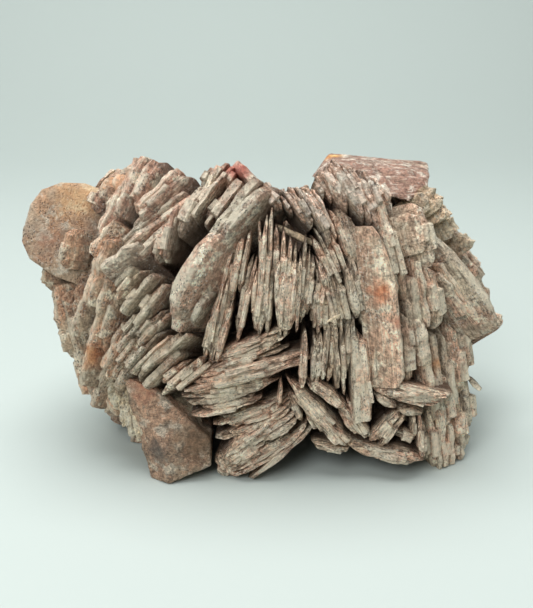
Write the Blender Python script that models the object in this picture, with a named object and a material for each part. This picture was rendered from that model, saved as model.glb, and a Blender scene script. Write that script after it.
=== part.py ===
"""Barite cluster: one intergrown piece of thin tabular crystals.

The crystals stand in books, small stacks of parallel blades, whose rims point out of a
rounded inner mass. On the left the books lean one way and on the right the other, like
the two slopes of a roof, and sheaves of blades cross the lower middle. Two flat cleavage
faces, one at the top right and one at the lower left, are where larger crystals broke.
The front faces -Y, and the cluster rests on flat feet at z = 0.
"""

import math
import random

import bmesh
import bpy
from mathutils import Matrix, Vector

NAME = "barite_cluster"
MM = 0.001

# Driving dimensions of the rounded lump that the rims reach, in millimetres. A profile
# gives a height across the lump, or a half size at a height, and is straight between.
MIDDLE_HEIGHT = 57.0
ROUNDNESS = 2.5
RIDGE = ((-90, 66), (-76, 90), (-60, 98), (-42, 107), (-20, 104), (-6, 96), (4, 92),
         (16, 96), (26, 106), (54, 103), (66, 90), (80, 72), (92, 62))
LEFT_HALF = ((0, 50), (16, 60), (31, 69), (46, 78), (57, 82), (78, 86), (100, 78))
RIGHT_HALF = ((0, 66), (15, 73), (46, 79), (57, 84), (75, 78), (97, 66))
DEPTH_HALF = ((0, 41), (15, 46), (31, 49), (57, 50), (110, 50))

# The inner mass that carries the blades, and how the blades sit in it.
CORE_INSET = 11.0
CORE_DETAIL = 3
PLATE_WIDTH = 4.4
REACH = 24.0
RIM_SHARE = 0.88
SHOULDER = 8.0
UNDER_FLOOR = 120.0
FLOOR_SIZE = (400.0, 400.0, 100.0)
LAP = 0.35
SIDE_PLATE_SHORTER = 0.82
JITTER = math.radians(2.0)
RECESS = 1.6
PITCH_START = 80.0
PITCH_RISE = 28.0
PITCH_MOST = 38.0

# Corners closer than this after the Booleans are one corner.
MERGE = 0.002

# The front view that the front blades are placed in, in view points from its top left
# corner, with its eye in millimetres: how far off, how far it looks down, and at what height.
VIEW_MIDDLE = (266.5, 304.0)
VIEW_FOCUS = 929.0
EYE_DISTANCE = 348.0
EYE_TILT = math.radians(18.0)
EYE_HEIGHT = 50.0

# Hollows between the books: across, out, up, then the three half sizes.
HOLLOWS = ((10, -40, 90, 15, 26, 8), (31, -44, 92, 5, 20, 14), (46, -44, 24, 10, 22, 9),
           (-30, -46, 34, 20, 14, 4), (-42, -44, 76, 7, 16, 4), (28, -52, -2, 30, 30, 14))

# Blades on the front: view points across and down at the two ends of the rims, how far out
# the rims stand in millimetres, the book's width, and the turn of its rims to the left.
FRONT_BOOKS = (
    # Rounded lobes and shingles at the far left, and the rough blades below them.
    (24, 250, 52, 188, -26, 5.0, 78), (52, 200, 82, 184, -20, 4.0, 60),
    (58, 262, 60, 234, -34, 3.4, 75), (36, 282, 44, 262, -24, 3.4, 82),
    (52, 330, 46, 285, -28, 4.2, 84), (62, 362, 52, 318, -29, 4.2, 84),
    (72, 322, 62, 278, -36, 4.4, 78), (82, 360, 70, 312, -37, 4.4, 76),
    (74, 392, 64, 352, -30, 4.2, 82), (84, 250, 108, 215, -36, 5.0, 65),
    (80, 290, 96, 240, -39, 4.6, 68), (92, 320, 104, 262, -42, 5.4, 55),
    (88, 352, 104, 290, -43, 5.2, 58), (96, 376, 112, 330, -43, 4.4, 52),
    (112, 385, 124, 440, -40, 4.0, 60), (128, 402, 146, 470, -43, 4.0, 66),
    # Leaning books of the upper left.
    (92, 200, 108, 172, -28, 4.6, 60), (95, 232, 131, 158, -32, 6.0, 60),
    (112, 222, 148, 160, -32, 4.6, 50), (131, 212, 182, 169, -36, 5.4, 35),
    (116, 240, 186, 186, -40, 4.2, 35), (133, 252, 214, 170, -40, 3.4, 30),
    (97, 266, 136, 238, -44, 3.2, 62), (155, 262, 166, 204, -45, 4.6, 22),
    (146, 262, 160, 222, -43, 3.6, 30), (170, 230, 200, 178, -41, 3.4, 22),
    (188, 212, 220, 172, -40, 3.6, 15), (200, 220, 232, 182, -41, 3.6, 10),
    (206, 190, 230, 156, -35, 4.4, 10), (222, 182, 236, 160, -33, 3.6, 0),
    (234, 160, 256, 182, -33, 3.4, 0),
    # The drusy ridge between the left books and the upright ones.
    (166, 284, 190, 240, -48, 5.0, 48), (166, 326, 163, 278, -49.5, 5.0, 45),
    (196, 240, 256, 188, -45, 6.5, 30), (186, 330, 206, 290, -50, 3.4, 25),
    # Short ribs of the middle left.
    (105, 296, 136, 262, -44, 4.0, 50), (116, 310, 150, 270, -45, 4.2, 42),
    (128, 322, 160, 282, -46, 3.6, 38), (112, 346, 150, 300, -45.5, 4.2, 36),
    (100, 372, 146, 316, -45, 4.4, 36), (112, 376, 156, 326, -46, 3.8, 34),
    (128, 378, 172, 332, -47, 3.6, 34), (150, 360, 184, 330, -48, 3.8, 34),
    (152, 392, 198, 352, -49, 5.0, 28),
    # Upright books of the centre, and the bundle that roofs the hollow.
    (269, 212, 259, 335, -50.5, 3.4, 2), (266, 262, 256, 345, -51.5, 6.5, 3),
    (290, 258, 285, 346, -53, 8.5, 0), (303, 243, 298, 318, -51, 3.0, 0),
    (311, 253, 302, 332, -49.5, 4.4, -4), (252, 262, 234, 348, -50.5, 3.4, 6),
    (226, 280, 207, 368, -52, 6.5, 8), (286, 184, 312, 224, -43, 3.4, -3),
    (303, 181, 330, 226, -43.5, 3.2, -6), (311, 186, 338, 240, -45, 3.4, -8),
    (259, 180, 281, 205, -42, 3.4, 0), (316, 232, 346, 300, -46.5, 3.4, -8),
    (321, 262, 340, 345, -49, 4.4, -6), (341, 202, 367, 285, -45, 6.0, -12),
    (333, 320, 327, 388, -50, 4.0, -4), (321, 338, 318, 390, -51, 5.2, -2),
    (340, 320, 343, 400, -50, 3.6, -5), (352, 318, 352, 396, -49, 3.4, -6),
    (363, 338, 366, 430, -49.5, 6.2, -8),
    # Crossing sheaves of the lower middle.
    (207, 366, 290, 338, -50.5, 6.0, 0), (182, 392, 313, 361, -52, 6.0, 0),
    (180, 400, 280, 385, -50, 6.5, 0), (212, 430, 292, 404, -47.5, 5.0, 0),
    (223, 457, 297, 413, -49.5, 6.0, 0), (222, 470, 270, 440, -49.5, 6.5, 0),
    (226, 479, 305, 436, -49, 5.0, 0), (214, 462, 236, 482, -46, 6.5, 20),
    (287, 382, 345, 448, -49, 5.6, 0), (307, 384, 352, 416, -50, 4.6, 0),
    (337, 402, 369, 445, -48, 5.0, 0), (322, 426, 350, 452, -49, 4.4, 0),
    (377, 451, 406, 417, -48, 4.0, 0), (372, 392, 455, 405, -50, 6.0, -5),
    (345, 452, 426, 464, -49, 5.0, 0),
    # Ribs of the right, turning round towards the side, and the right foot.
    (371, 232, 396, 378, -49.5, 4.0, -35), (374, 232, 409, 384, -50, 4.2, -45),
    (392, 300, 402, 386, -49.5, 5.0, -20), (378, 188, 413, 303, -43.5, 4.6, -18),
    (384, 250, 408, 320, -46, 3.2, -20), (413, 300, 420, 362, -46, 4.4, -25),
    (404, 203, 440, 262, -42, 3.6, -60), (420, 262, 430, 330, -44, 4.0, -35),
    (432, 262, 444, 325, -42, 3.4, -40), (427, 208, 503, 318, -33, 3.6, -52),
    (440, 205, 478, 262, -28, 4.0, -60), (448, 250, 480, 310, -36, 3.4, -50),
    (484, 300, 508, 322, -28, 4.0, -60), (437, 335, 446, 432, -40.5, 4.6, -30),
    (449, 330, 459, 430, -37.5, 4.4, -40), (462, 325, 470, 400, -34, 4.2, -48),
    (472, 322, 479, 380, -30, 3.6, -58), (464, 395, 470, 448, -34, 4.4, -45),
    (474, 378, 478, 430, -30, 4.0, -55), (430, 410, 436, 474, -41, 4.6, -12),
    (441, 408, 446, 472, -40, 4.0, -18), (452, 425, 452, 468, -37, 4.0, -25),
    (463, 432, 462, 462, -33, 4.2, -40),
    # Yellowish crystals behind the right shoulder.
    (447, 184, 452, 214, -20, 4.0, -65), (462, 196, 466, 226, -16, 4.0, -70),
    (430, 182, 442, 206, -24, 4.4, -55),
    # Blades running up into the cleaved block at the top right.
    (336, 168, 364, 212, -40, 4.2, -4), (345, 168, 376, 223, -41, 4.6, -6),
    (356, 172, 383, 232, -42, 4.6, -10),
)

# Broken crystals with flat cleavage faces, each by its corners in millimetres.
TOP_BLOCK = ((22, -4, 107), (58, -4, 104), (24, -20, 108), (60, -16, 102), (41, -30, 97),
             (50, -28, 95), (56, -22, 97), (13, -26, 102), (14, 14, 99), (57, 12, 95),
             (24, 13, 107), (56, 11, 103))
LOWER_CHUNK = ((-49, -40, 38), (-49, -38, 37), (-37, -44, 34), (-30, -46, 28), (-19, -47, 17),
               (-19, -47, 7), (-34, -49, 1), (-34, -50, 14), (-43, -41, 18), (-40, -44, 1),
               (-46, -16, 36), (-20, -16, 18), (-20, -16, 1), (-40, -16, 1))
CHUNKS = (TOP_BLOCK, LOWER_CHUNK)

# Fans on the hidden sides: the way each faces, its columns and rows, the space they
# cover, the lean and turn at its two ends, and the book's length and width.
FANS = (
    ("back", 10, 4, (-70, 66), (12, 84), (34, -34), (46, -46), 28, 4.8),
    ("right", 4, 4, (-14, 27), (14, 80), (-8, 14), (12, -34), 27, 4.8),
    ("left", 4, 4, (-27, 16), (22, 88), (-12, 16), (34, -12), 27, 4.6),
    ("top", 8, 2, (-48, 50), (-8, 18), (6, -6), (-34, 32), 26, 4.8),
)
FAN_REACH = 20.0
FAN_STRAY = 2.5
FAN_TWIST = 8.0
SEED = 7

CRYSTAL_COLOUR = (0.47, 0.36, 0.30, 1.0)
CRYSTAL_ROUGHNESS = 0.62


def profile(points, place):
    """Read a profile at a place, holding its first and last values beyond its ends."""
    for (start, low), (end, high) in zip(points, points[1:]):
        if place <= end:
            share = max(0.0, (place - start) / (end - start))
            return low + (high - low) * share
    return points[-1][1]


def fall(value, half):
    return abs(value / half) ** ROUNDNESS


def top_fall(across, up):
    """How far the lump has closed in at a height above its middle."""
    if up <= MIDDLE_HEIGHT:
        return 0.0
    return fall(up - MIDDLE_HEIGHT, profile(RIDGE, across) - MIDDLE_HEIGHT)


def side_half(across, up):
    return profile(RIGHT_HALF if across > 0.0 else LEFT_HALF, up)


def bulge(room):
    return max(room, 0.0) ** (1.0 / ROUNDNESS)


def lump_rim(side, across, up):
    """The point of the lump's skin that is seen at (across, up) from one side."""
    if side == "top":
        half = side_half(across, MIDDLE_HEIGHT)
        room = 1.0 - fall(across, half) - fall(up, profile(DEPTH_HALF, MIDDLE_HEIGHT))
        height = (profile(RIDGE, across) - MIDDLE_HEIGHT) * bulge(room)
        return Vector((across, up, MIDDLE_HEIGHT + height))
    depth = profile(DEPTH_HALF, up)
    if side == "back":
        room = 1.0 - fall(across, side_half(-across, up)) - top_fall(-across, up)
        return Vector((-across, depth * bulge(room), up))
    way = 1.0 if side == "right" else -1.0
    half = side_half(way, up)
    room = 1.0 - fall(across, depth) - top_fall(way * 0.6 * half, up)
    return Vector((way * half * bulge(room), way * across, up))


SIDES = {
    "front": (Vector((1, 0, 0)), Vector((0, 0, 1)), Vector((0, -1, 0))),
    "back": (Vector((-1, 0, 0)), Vector((0, 0, 1)), Vector((0, 1, 0))),
    "right": (Vector((0, 1, 0)), Vector((0, 0, 1)), Vector((1, 0, 0))),
    "left": (Vector((0, -1, 0)), Vector((0, 0, 1)), Vector((-1, 0, 0))),
    "top": (Vector((1, 0, 0)), Vector((0, 1, 0)), Vector((0, 0, 1))),
}


def tipped_back(side, height):
    """Directions up and out of one side, tipped back near the top of the lump."""
    right, upward, outward = SIDES[side]
    pitch = PITCH_MOST * min(1.0, max(0.0, (height - PITCH_START) / PITCH_RISE))
    if side == "top":
        pitch = 0.0
    tip_back = Matrix.Rotation(math.radians(-pitch), 3, right)
    return tip_back @ upward, tip_back @ outward


def turned_axes(run, outward, turn):
    """Directions along a book's blades, out of its rims and through its stack."""
    across = run.cross(outward)
    rim = outward * math.cos(math.radians(turn)) - across * math.sin(math.radians(turn))
    return run, rim, run.cross(rim)


def leaning_axes(side, lean, turn, height):
    upward, outward = tipped_back(side, height)
    run = SIDES[side][0] * math.sin(math.radians(lean)) + upward * math.cos(math.radians(lean))
    return turned_axes(run, outward, turn)


def sight_line(across, down):
    """The eye of the front view, and the way it looks through one view point."""
    forward = Vector((0.0, math.cos(EYE_TILT), -math.sin(EYE_TILT)))
    upward = Vector((0.0, math.sin(EYE_TILT), math.cos(EYE_TILT)))
    way = forward + Vector((1, 0, 0)) * ((across - VIEW_MIDDLE[0]) / VIEW_FOCUS)
    way += upward * ((VIEW_MIDDLE[1] - down) / VIEW_FOCUS)
    return Vector((0.0, 0.0, EYE_HEIGHT)) - forward * EYE_DISTANCE, way


def seen_on_plane(point, middle, outward):
    """Where a view point falls on a plane through the middle that faces outward."""
    eye, way = sight_line(*point)
    return eye + way * ((middle - eye).dot(outward) / way.dot(outward))


def book_by_sight(first, second, out, turn):
    """A front book's middle, axes and length from the view points of its two ends."""
    eye, way = sight_line((first[0] + second[0]) / 2.0, (first[1] + second[1]) / 2.0)
    middle = eye + way * ((out - eye.y) / way.y)
    outward = tipped_back("front", middle.z)[1]
    ends = [seen_on_plane(point, middle, outward) for point in (first, second)]
    run = ends[0] - ends[1]
    length = run.length
    run = run.normalized() if run.z > 0.0 else -run.normalized()
    return sum(ends, Vector()) / 2.0, turned_axes(run, outward, turn), length


def add_plate(target, centre, axes, size):
    """Put one six-sided tabular crystal, widest half way down, among the target's."""
    length, depth, thickness = size
    plate = bmesh.new()
    bmesh.ops.create_cone(plate, cap_ends=True, segments=6, radius1=1.0, radius2=1.0,
                          depth=thickness)
    for vert in plate.verts:
        on_rim = abs(vert.co.x) > 0.5
        full = length * RIM_SHARE if on_rim else length + SHOULDER
        vert.co.y = math.copysign(full / 2.0, vert.co.y)
        vert.co.x = math.copysign(depth / 2.0, vert.co.x) if on_rim else 0.0
    run, rim, stack = axes
    turned = Matrix((rim, run, stack)).transposed().to_4x4()
    place = Matrix.Scale(MM, 4) @ Matrix.Translation(centre)
    bmesh.ops.transform(plate, matrix=place @ turned, verts=plate.verts)
    bmesh.ops.recalc_face_normals(plate, faces=plate.faces)
    finish_mesh(plate, f"plate_{len(target.objects):03d}", target)


def finish_mesh(shape, name, target):
    mesh = bpy.data.meshes.new(name)
    shape.to_mesh(mesh)
    shape.free()
    piece = bpy.data.objects.new(name, mesh)
    target.objects.link(piece)
    return piece


def add_book(target, chance, centre, axes, length, width, reach):
    """Stack the plates of one book, the middle ones longer than the outer ones."""
    count = max(1, round(width / PLATE_WIDTH))
    thickness = width / count
    run, rim, stack = axes
    for number in range(count):
        off_middle = number - (count - 1) / 2.0
        outer = count > 1 and number in (0, count - 1)
        long = length * (SIDE_PLATE_SHORTER if outer else 1.0)
        slide = chance.uniform(-0.5, 0.5) * (length - long + 1.0)
        tilt = Matrix.Rotation(chance.uniform(-JITTER, JITTER), 3, rim)
        tilt = tilt @ Matrix.Rotation(chance.uniform(-JITTER, JITTER), 3, run)
        place = centre + stack * (off_middle * thickness) + run * slide
        place = place - rim * chance.uniform(0.0, RECESS)
        add_plate(target, place, (tilt @ run, tilt @ rim, tilt @ stack),
                  (long, 2.0 * reach, thickness + LAP))


def add_front_books(target):
    chance = random.Random(SEED)
    for across, down, next_across, next_down, out, width, turn in FRONT_BOOKS:
        middle, axes, length = book_by_sight((across, down), (next_across, next_down), out, turn)
        add_book(target, chance, middle - axes[1] * REACH, axes, length, width, REACH)


def add_fans(target):
    chance = random.Random(SEED)
    for side, columns, rows, spread, heights, leans, turns, length, width in FANS:
        for row in range(rows):
            for column in range(columns):
                share = (column + 0.5 * (row % 2)) / (columns - 0.5)
                across = spread[0] + (spread[1] - spread[0]) * share
                up = heights[0] + (heights[1] - heights[0]) * row / (rows - 1)
                across += chance.uniform(-FAN_STRAY, FAN_STRAY)
                up += chance.uniform(-FAN_STRAY, FAN_STRAY)
                lean = leans[0] + (leans[1] - leans[0]) * share
                lean += chance.uniform(-FAN_TWIST, FAN_TWIST)
                turn = turns[0] + (turns[1] - turns[0]) * share
                turn += chance.uniform(-FAN_TWIST, FAN_TWIST)
                rim = lump_rim(side, across, up)
                axes = leaning_axes(side, lean, turn, rim.z)
                long = length * chance.uniform(0.85, 1.15)
                add_plate(target, rim - axes[1] * FAN_REACH, axes,
                          (long, 2.0 * FAN_REACH, width * chance.uniform(0.8, 1.1)))


def sized(wide, deep, high):
    return Matrix.Diagonal((wide * MM, deep * MM, high * MM, 1.0))


def add_chunks(target):
    for number, corners in enumerate(CHUNKS):
        block = bmesh.new()
        for corner in corners:
            block.verts.new(Vector(corner) * MM)
        bmesh.ops.convex_hull(block, input=block.verts)
        finish_mesh(block, f"chunk_{number}", target)


def make_core(target):
    """The rounded inner mass, set back from the rims all round."""
    core = bmesh.new()
    bmesh.ops.create_icosphere(core, subdivisions=CORE_DETAIL, radius=1.0)
    for vert in core.verts:
        way = vert.co.normalized()
        way = way * sum(abs(part) ** ROUNDNESS for part in way) ** (-1.0 / ROUNDNESS)
        tall = UNDER_FLOOR
        if way.z > 0.0:
            across = way.x * side_half(way.x, MIDDLE_HEIGHT)
            tall = profile(RIDGE, across) - MIDDLE_HEIGHT - CORE_INSET
        up = MIDDLE_HEIGHT + way.z * tall
        vert.co = Vector((way.x * (side_half(way.x, up) - CORE_INSET),
                          way.y * (profile(DEPTH_HALF, up) - CORE_INSET), up)) * MM
    return finish_mesh(core, NAME, target)


def make_hollows(target):
    for number, (x, y, z, wide, deep, high) in enumerate(HOLLOWS):
        hollow = bmesh.new()
        bmesh.ops.create_icosphere(hollow, subdivisions=2, radius=1.0)
        place = Matrix.Translation(Vector((x, y, z)) * MM)
        bmesh.ops.transform(hollow, matrix=place @ sized(wide, deep, high),
                            verts=hollow.verts)
        finish_mesh(hollow, f"hollow_{number}", target)


def make_floor_cutter(target):
    """Everything below the level that the cluster rests on."""
    floor = bmesh.new()
    bmesh.ops.create_cube(floor, size=1.0)
    place = Matrix.Translation((0.0, 0.0, -FLOOR_SIZE[2] * MM / 2.0))
    bmesh.ops.transform(floor, matrix=place @ sized(*FLOOR_SIZE), verts=floor.verts)
    return finish_mesh(floor, "below_floor", target)


def apply_boolean(piece, operation, collection=None, other=None):
    """Run one exact Boolean and make its result the piece's own mesh."""
    modifier = piece.modifiers.new("join", "BOOLEAN")
    modifier.operation = operation
    modifier.solver = "EXACT"
    if collection:
        modifier.operand_type = "COLLECTION"
        modifier.collection = collection
    else:
        modifier.object = other
    graph = bpy.context.evaluated_depsgraph_get()
    made = bpy.data.meshes.new_from_object(piece.evaluated_get(graph))
    piece.modifiers.clear()
    piece.data = made


def keep_outer_skin(piece):
    """Remove sealed pockets and crumbs, so that one closed body is left."""
    shape = bmesh.new()
    shape.from_mesh(piece.data)
    bmesh.ops.remove_doubles(shape, verts=shape.verts, dist=MERGE * MM)
    bmesh.ops.triangulate(shape, faces=shape.faces)
    shells = []
    waiting = set(shape.faces)
    while waiting:
        shell = {waiting.pop()}
        edge_of_search = list(shell)
        while edge_of_search:
            face = edge_of_search.pop()
            for edge in face.edges:
                for near in edge.link_faces:
                    if near in waiting:
                        waiting.remove(near)
                        shell.add(near)
                        edge_of_search.append(near)
        shells.append(shell)
    shells.sort(key=len)
    spare = [face for shell in shells[:-1] for face in shell]
    bmesh.ops.delete(shape, geom=spare, context="FACES")
    shape.to_mesh(piece.data)
    shape.free()


def crystal_material():
    material = bpy.data.materials.new("barite")
    material.use_nodes = True
    shader = material.node_tree.nodes["Principled BSDF"]
    shader.inputs["Base Color"].default_value = CRYSTAL_COLOUR
    shader.inputs["Roughness"].default_value = CRYSTAL_ROUGHNESS
    shader.inputs["Metallic"].default_value = 0.0
    return material


def new_collection(name):
    collection = bpy.data.collections.new(name)
    bpy.context.scene.collection.children.link(collection)
    return collection


def hide_helpers(collection):
    for helper in collection.objects:
        helper.hide_render = True
        helper.display_type = "WIRE"


for old in list(bpy.data.objects):
    bpy.data.objects.remove(old, do_unlink=True)

parts = new_collection(NAME)
grown = new_collection("blades_to_join")
hollows = new_collection("hollows_to_cut")
floor_level = new_collection("floor_to_cut")

cluster = make_core(parts)
make_hollows(hollows)
add_front_books(grown)
add_fans(grown)
add_chunks(grown)
apply_boolean(cluster, "DIFFERENCE", collection=hollows)
apply_boolean(cluster, "UNION", collection=grown)
apply_boolean(cluster, "DIFFERENCE", other=make_floor_cutter(floor_level))
keep_outer_skin(cluster)
cluster.data.materials.clear()
cluster.data.materials.append(crystal_material())

for helpers in (grown, hollows, floor_level):
    hide_helpers(helpers)
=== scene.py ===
"""Looks of the barite cluster: thin blades in leaning books round one inner mass.

Sizes are in millimetres and angles in degrees. X runs to the right, -Y is the front and
the cluster rests on z = 0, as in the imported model.
"""

import math
import random

import bpy
from mathutils import Matrix, Vector


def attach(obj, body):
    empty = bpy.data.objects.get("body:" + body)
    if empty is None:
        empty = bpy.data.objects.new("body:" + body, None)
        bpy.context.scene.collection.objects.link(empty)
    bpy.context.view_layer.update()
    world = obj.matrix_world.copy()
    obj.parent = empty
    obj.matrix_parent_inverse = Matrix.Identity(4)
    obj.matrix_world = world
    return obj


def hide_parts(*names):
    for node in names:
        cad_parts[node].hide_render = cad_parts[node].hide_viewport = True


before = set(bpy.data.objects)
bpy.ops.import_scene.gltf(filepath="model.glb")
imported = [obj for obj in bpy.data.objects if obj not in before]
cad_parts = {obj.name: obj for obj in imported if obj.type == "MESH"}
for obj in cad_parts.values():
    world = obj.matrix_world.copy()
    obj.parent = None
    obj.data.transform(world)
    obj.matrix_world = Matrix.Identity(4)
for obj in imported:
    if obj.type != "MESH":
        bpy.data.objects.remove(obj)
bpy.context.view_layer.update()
MM = 0.001


# ---------------------------------------------------------------------------
# Inner mass: massive barite that every blade grew out of, seen only as the dark floor of the
# crevices; its near-black colour is painted shade of those crevices. Rounded lumps are grown
# together, roughened and cut level at the base.
# ---------------------------------------------------------------------------
INNER_LUMPS = (  # centre, then the three half sizes
    (0, 3, 44, 64, 35, 36),
    (-46, 4, 64, 26, 34, 27),
    (37, 4, 60, 28, 32, 29),
    (-2, 14, 54, 44, 25, 27),
    (22, 2, 24, 40, 30, 24),
    (-24, 2, 26, 30, 30, 25),
)
INNER_VOXEL = 2.2
INNER_DENTS = ((6.0, 4.8), (2.5, 2.4))  # size and height, the coarse ones first
BASE_LEVEL = 0.6
CRISP_ANGLE = 38.0
CLOUD_DEPTH = 2


def start_clean():
    """Leave nothing selected, so that the next operator acts on the new piece alone."""
    if bpy.context.object and bpy.context.object.mode != "OBJECT":
        bpy.ops.object.mode_set(mode="OBJECT")
    bpy.ops.object.select_all(action="DESELECT")


def take(*pieces):
    """Select these pieces alone, with the first one active."""
    start_clean()
    for piece in pieces:
        piece.select_set(True)
    bpy.context.view_layer.objects.active = pieces[0]


def apply_modifier(piece, kind, **settings):
    take(piece)
    modifier = piece.modifiers.new(kind.title(), kind)
    for name, value in settings.items():
        setattr(modifier, name, value)
    bpy.ops.object.modifier_apply(modifier=modifier.name)


def roughen(piece, size, height):
    """Push the skin in and out by a cloudy pattern with lumps of this size."""
    texture = bpy.data.textures.new(f"{piece.name}_{size}", "CLOUDS")
    texture.noise_scale = size * MM
    texture.noise_depth = CLOUD_DEPTH
    apply_modifier(piece, "DISPLACE", texture=texture, texture_coords="GLOBAL",
                   strength=height * MM, mid_level=0.5)


def join(pieces, name):
    take(*pieces)
    if len(pieces) > 1:
        bpy.ops.object.join()
    joined = bpy.context.object
    joined.name = joined.data.name = name
    return joined


def settle(piece):
    """Put the piece's place into its mesh."""
    take(piece)
    bpy.ops.object.transform_apply(location=True, rotation=True, scale=True)


def cut_level(piece, height):
    """Cut off what is below a height and close the cut."""
    take(piece)
    bpy.ops.object.mode_set(mode="EDIT")
    bpy.ops.mesh.select_all(action="SELECT")
    bpy.ops.mesh.bisect(plane_co=(0, 0, height * MM), plane_no=(0, 0, 1),
                        use_fill=True, clear_inner=True)
    bpy.ops.object.mode_set(mode="OBJECT")


def barite_piece(piece, material):
    """Give a finished piece its stone and say what it stands for."""
    piece.data.materials.clear()
    piece.data.materials.append(material)
    take(piece)
    bpy.ops.object.shade_smooth_by_angle(angle=math.radians(CRISP_ANGLE))
    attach(piece, "root")
    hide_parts("barite_cluster")


def add_node(tree, kind, inputs=None, **settings):
    """A new node: each input takes a value, or a link where it is given a socket."""
    made = tree.nodes.new(kind)
    for name, value in settings.items():
        setattr(made, name, value)
    for socket, value in (inputs or {}).items():
        if isinstance(value, bpy.types.NodeSocket):
            tree.links.new(value, made.inputs[socket])
        else:
            made.inputs[socket].default_value = value
    return made


def mixed(tree, share, first, second, blend="MIX"):
    return add_node(tree, "ShaderNodeMix", {0: share, 6: first, 7: second},
                    data_type="RGBA", blend_type=blend).outputs[2]


def maths(tree, operation, first, second):
    return add_node(tree, "ShaderNodeMath", {0: first, 1: second},
                    operation=operation).outputs[0]


def between(tree, value, low, high, start=0.0, end=1.0):
    """Spread a value between low and high over start to end."""
    return add_node(tree, "ShaderNodeMapRange",
                    {"Value": value, "From Min": low, "From Max": high,
                     "To Min": start, "To Max": end},
                    interpolation_type="SMOOTHSTEP").outputs["Result"]


def noise(tree, place, scale, detail=3.0, rough=0.55):
    return add_node(tree, "ShaderNodeTexNoise",
                    {"Vector": place, "Scale": scale, "Detail": detail,
                     "Roughness": rough}).outputs["Fac"]


def stretched(tree, place, scale):
    return add_node(tree, "ShaderNodeMapping", {"Vector": place, "Scale": scale}).outputs[0]


def new_group(name, inputs, outputs):
    """A node group with named sockets: inputs give a kind and a value, outputs a kind."""
    tree = bpy.data.node_groups.new(name, "ShaderNodeTree")
    for socket, (kind, value) in inputs.items():
        made = tree.interface.new_socket(socket, in_out="INPUT", socket_type=kind)
        if value is not None:
            made.default_value = value
    for socket, kind in outputs.items():
        tree.interface.new_socket(socket, in_out="OUTPUT", socket_type=kind)
    into = tree.nodes.new("NodeGroupInput")
    return tree, into.outputs


COLOUR, NUMBER, PLACE = "NodeSocketColor", "NodeSocketFloat", "NodeSocketVector"
# How many features of each kind a metre of the stone holds.
BLUSH_SCALE, GREY_SCALE, CREAM_SCALE = 75.0, 130.0, 210.0
GRAIN_SCALE, CRUMB_SCALE, FROST_SCALE = 620.0, 1300.0, 1500.0
CLUSTER_SCALE, BROKEN_SCALE, RAGGED_SCALE = 150.0, 340.0, 260.0
# How streaks and pits stretch over the millimetres of a blade's grain.
STREAK_STRETCH, PIT_STRETCH = (0.10, 1.0, 1.9), (0.8, 1.5, 1.7)
TOP_BLUSH_FROM, TOP_BLUSH_FULL = 0.080, 0.108  # heights in metres
RIM_WIDE, RIM_EDGE = 1.5, 0.2  # how far in from its rim a blade is pale: pale crust, and a painted highlight on its edge
SHADE_DIRT_FROM, SHADE_DIRT_FULL = 2.6, 9.0  # how far in from its rim a blade darkens, as dirt and as painted shade of the crevices
# The white is that of frost specks and of painted glints.
PIT_DIRT, FROST_GLINT_WHITE = (0.030, 0.026, 0.018, 1), (0.88, 0.86, 0.81, 1)


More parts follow.
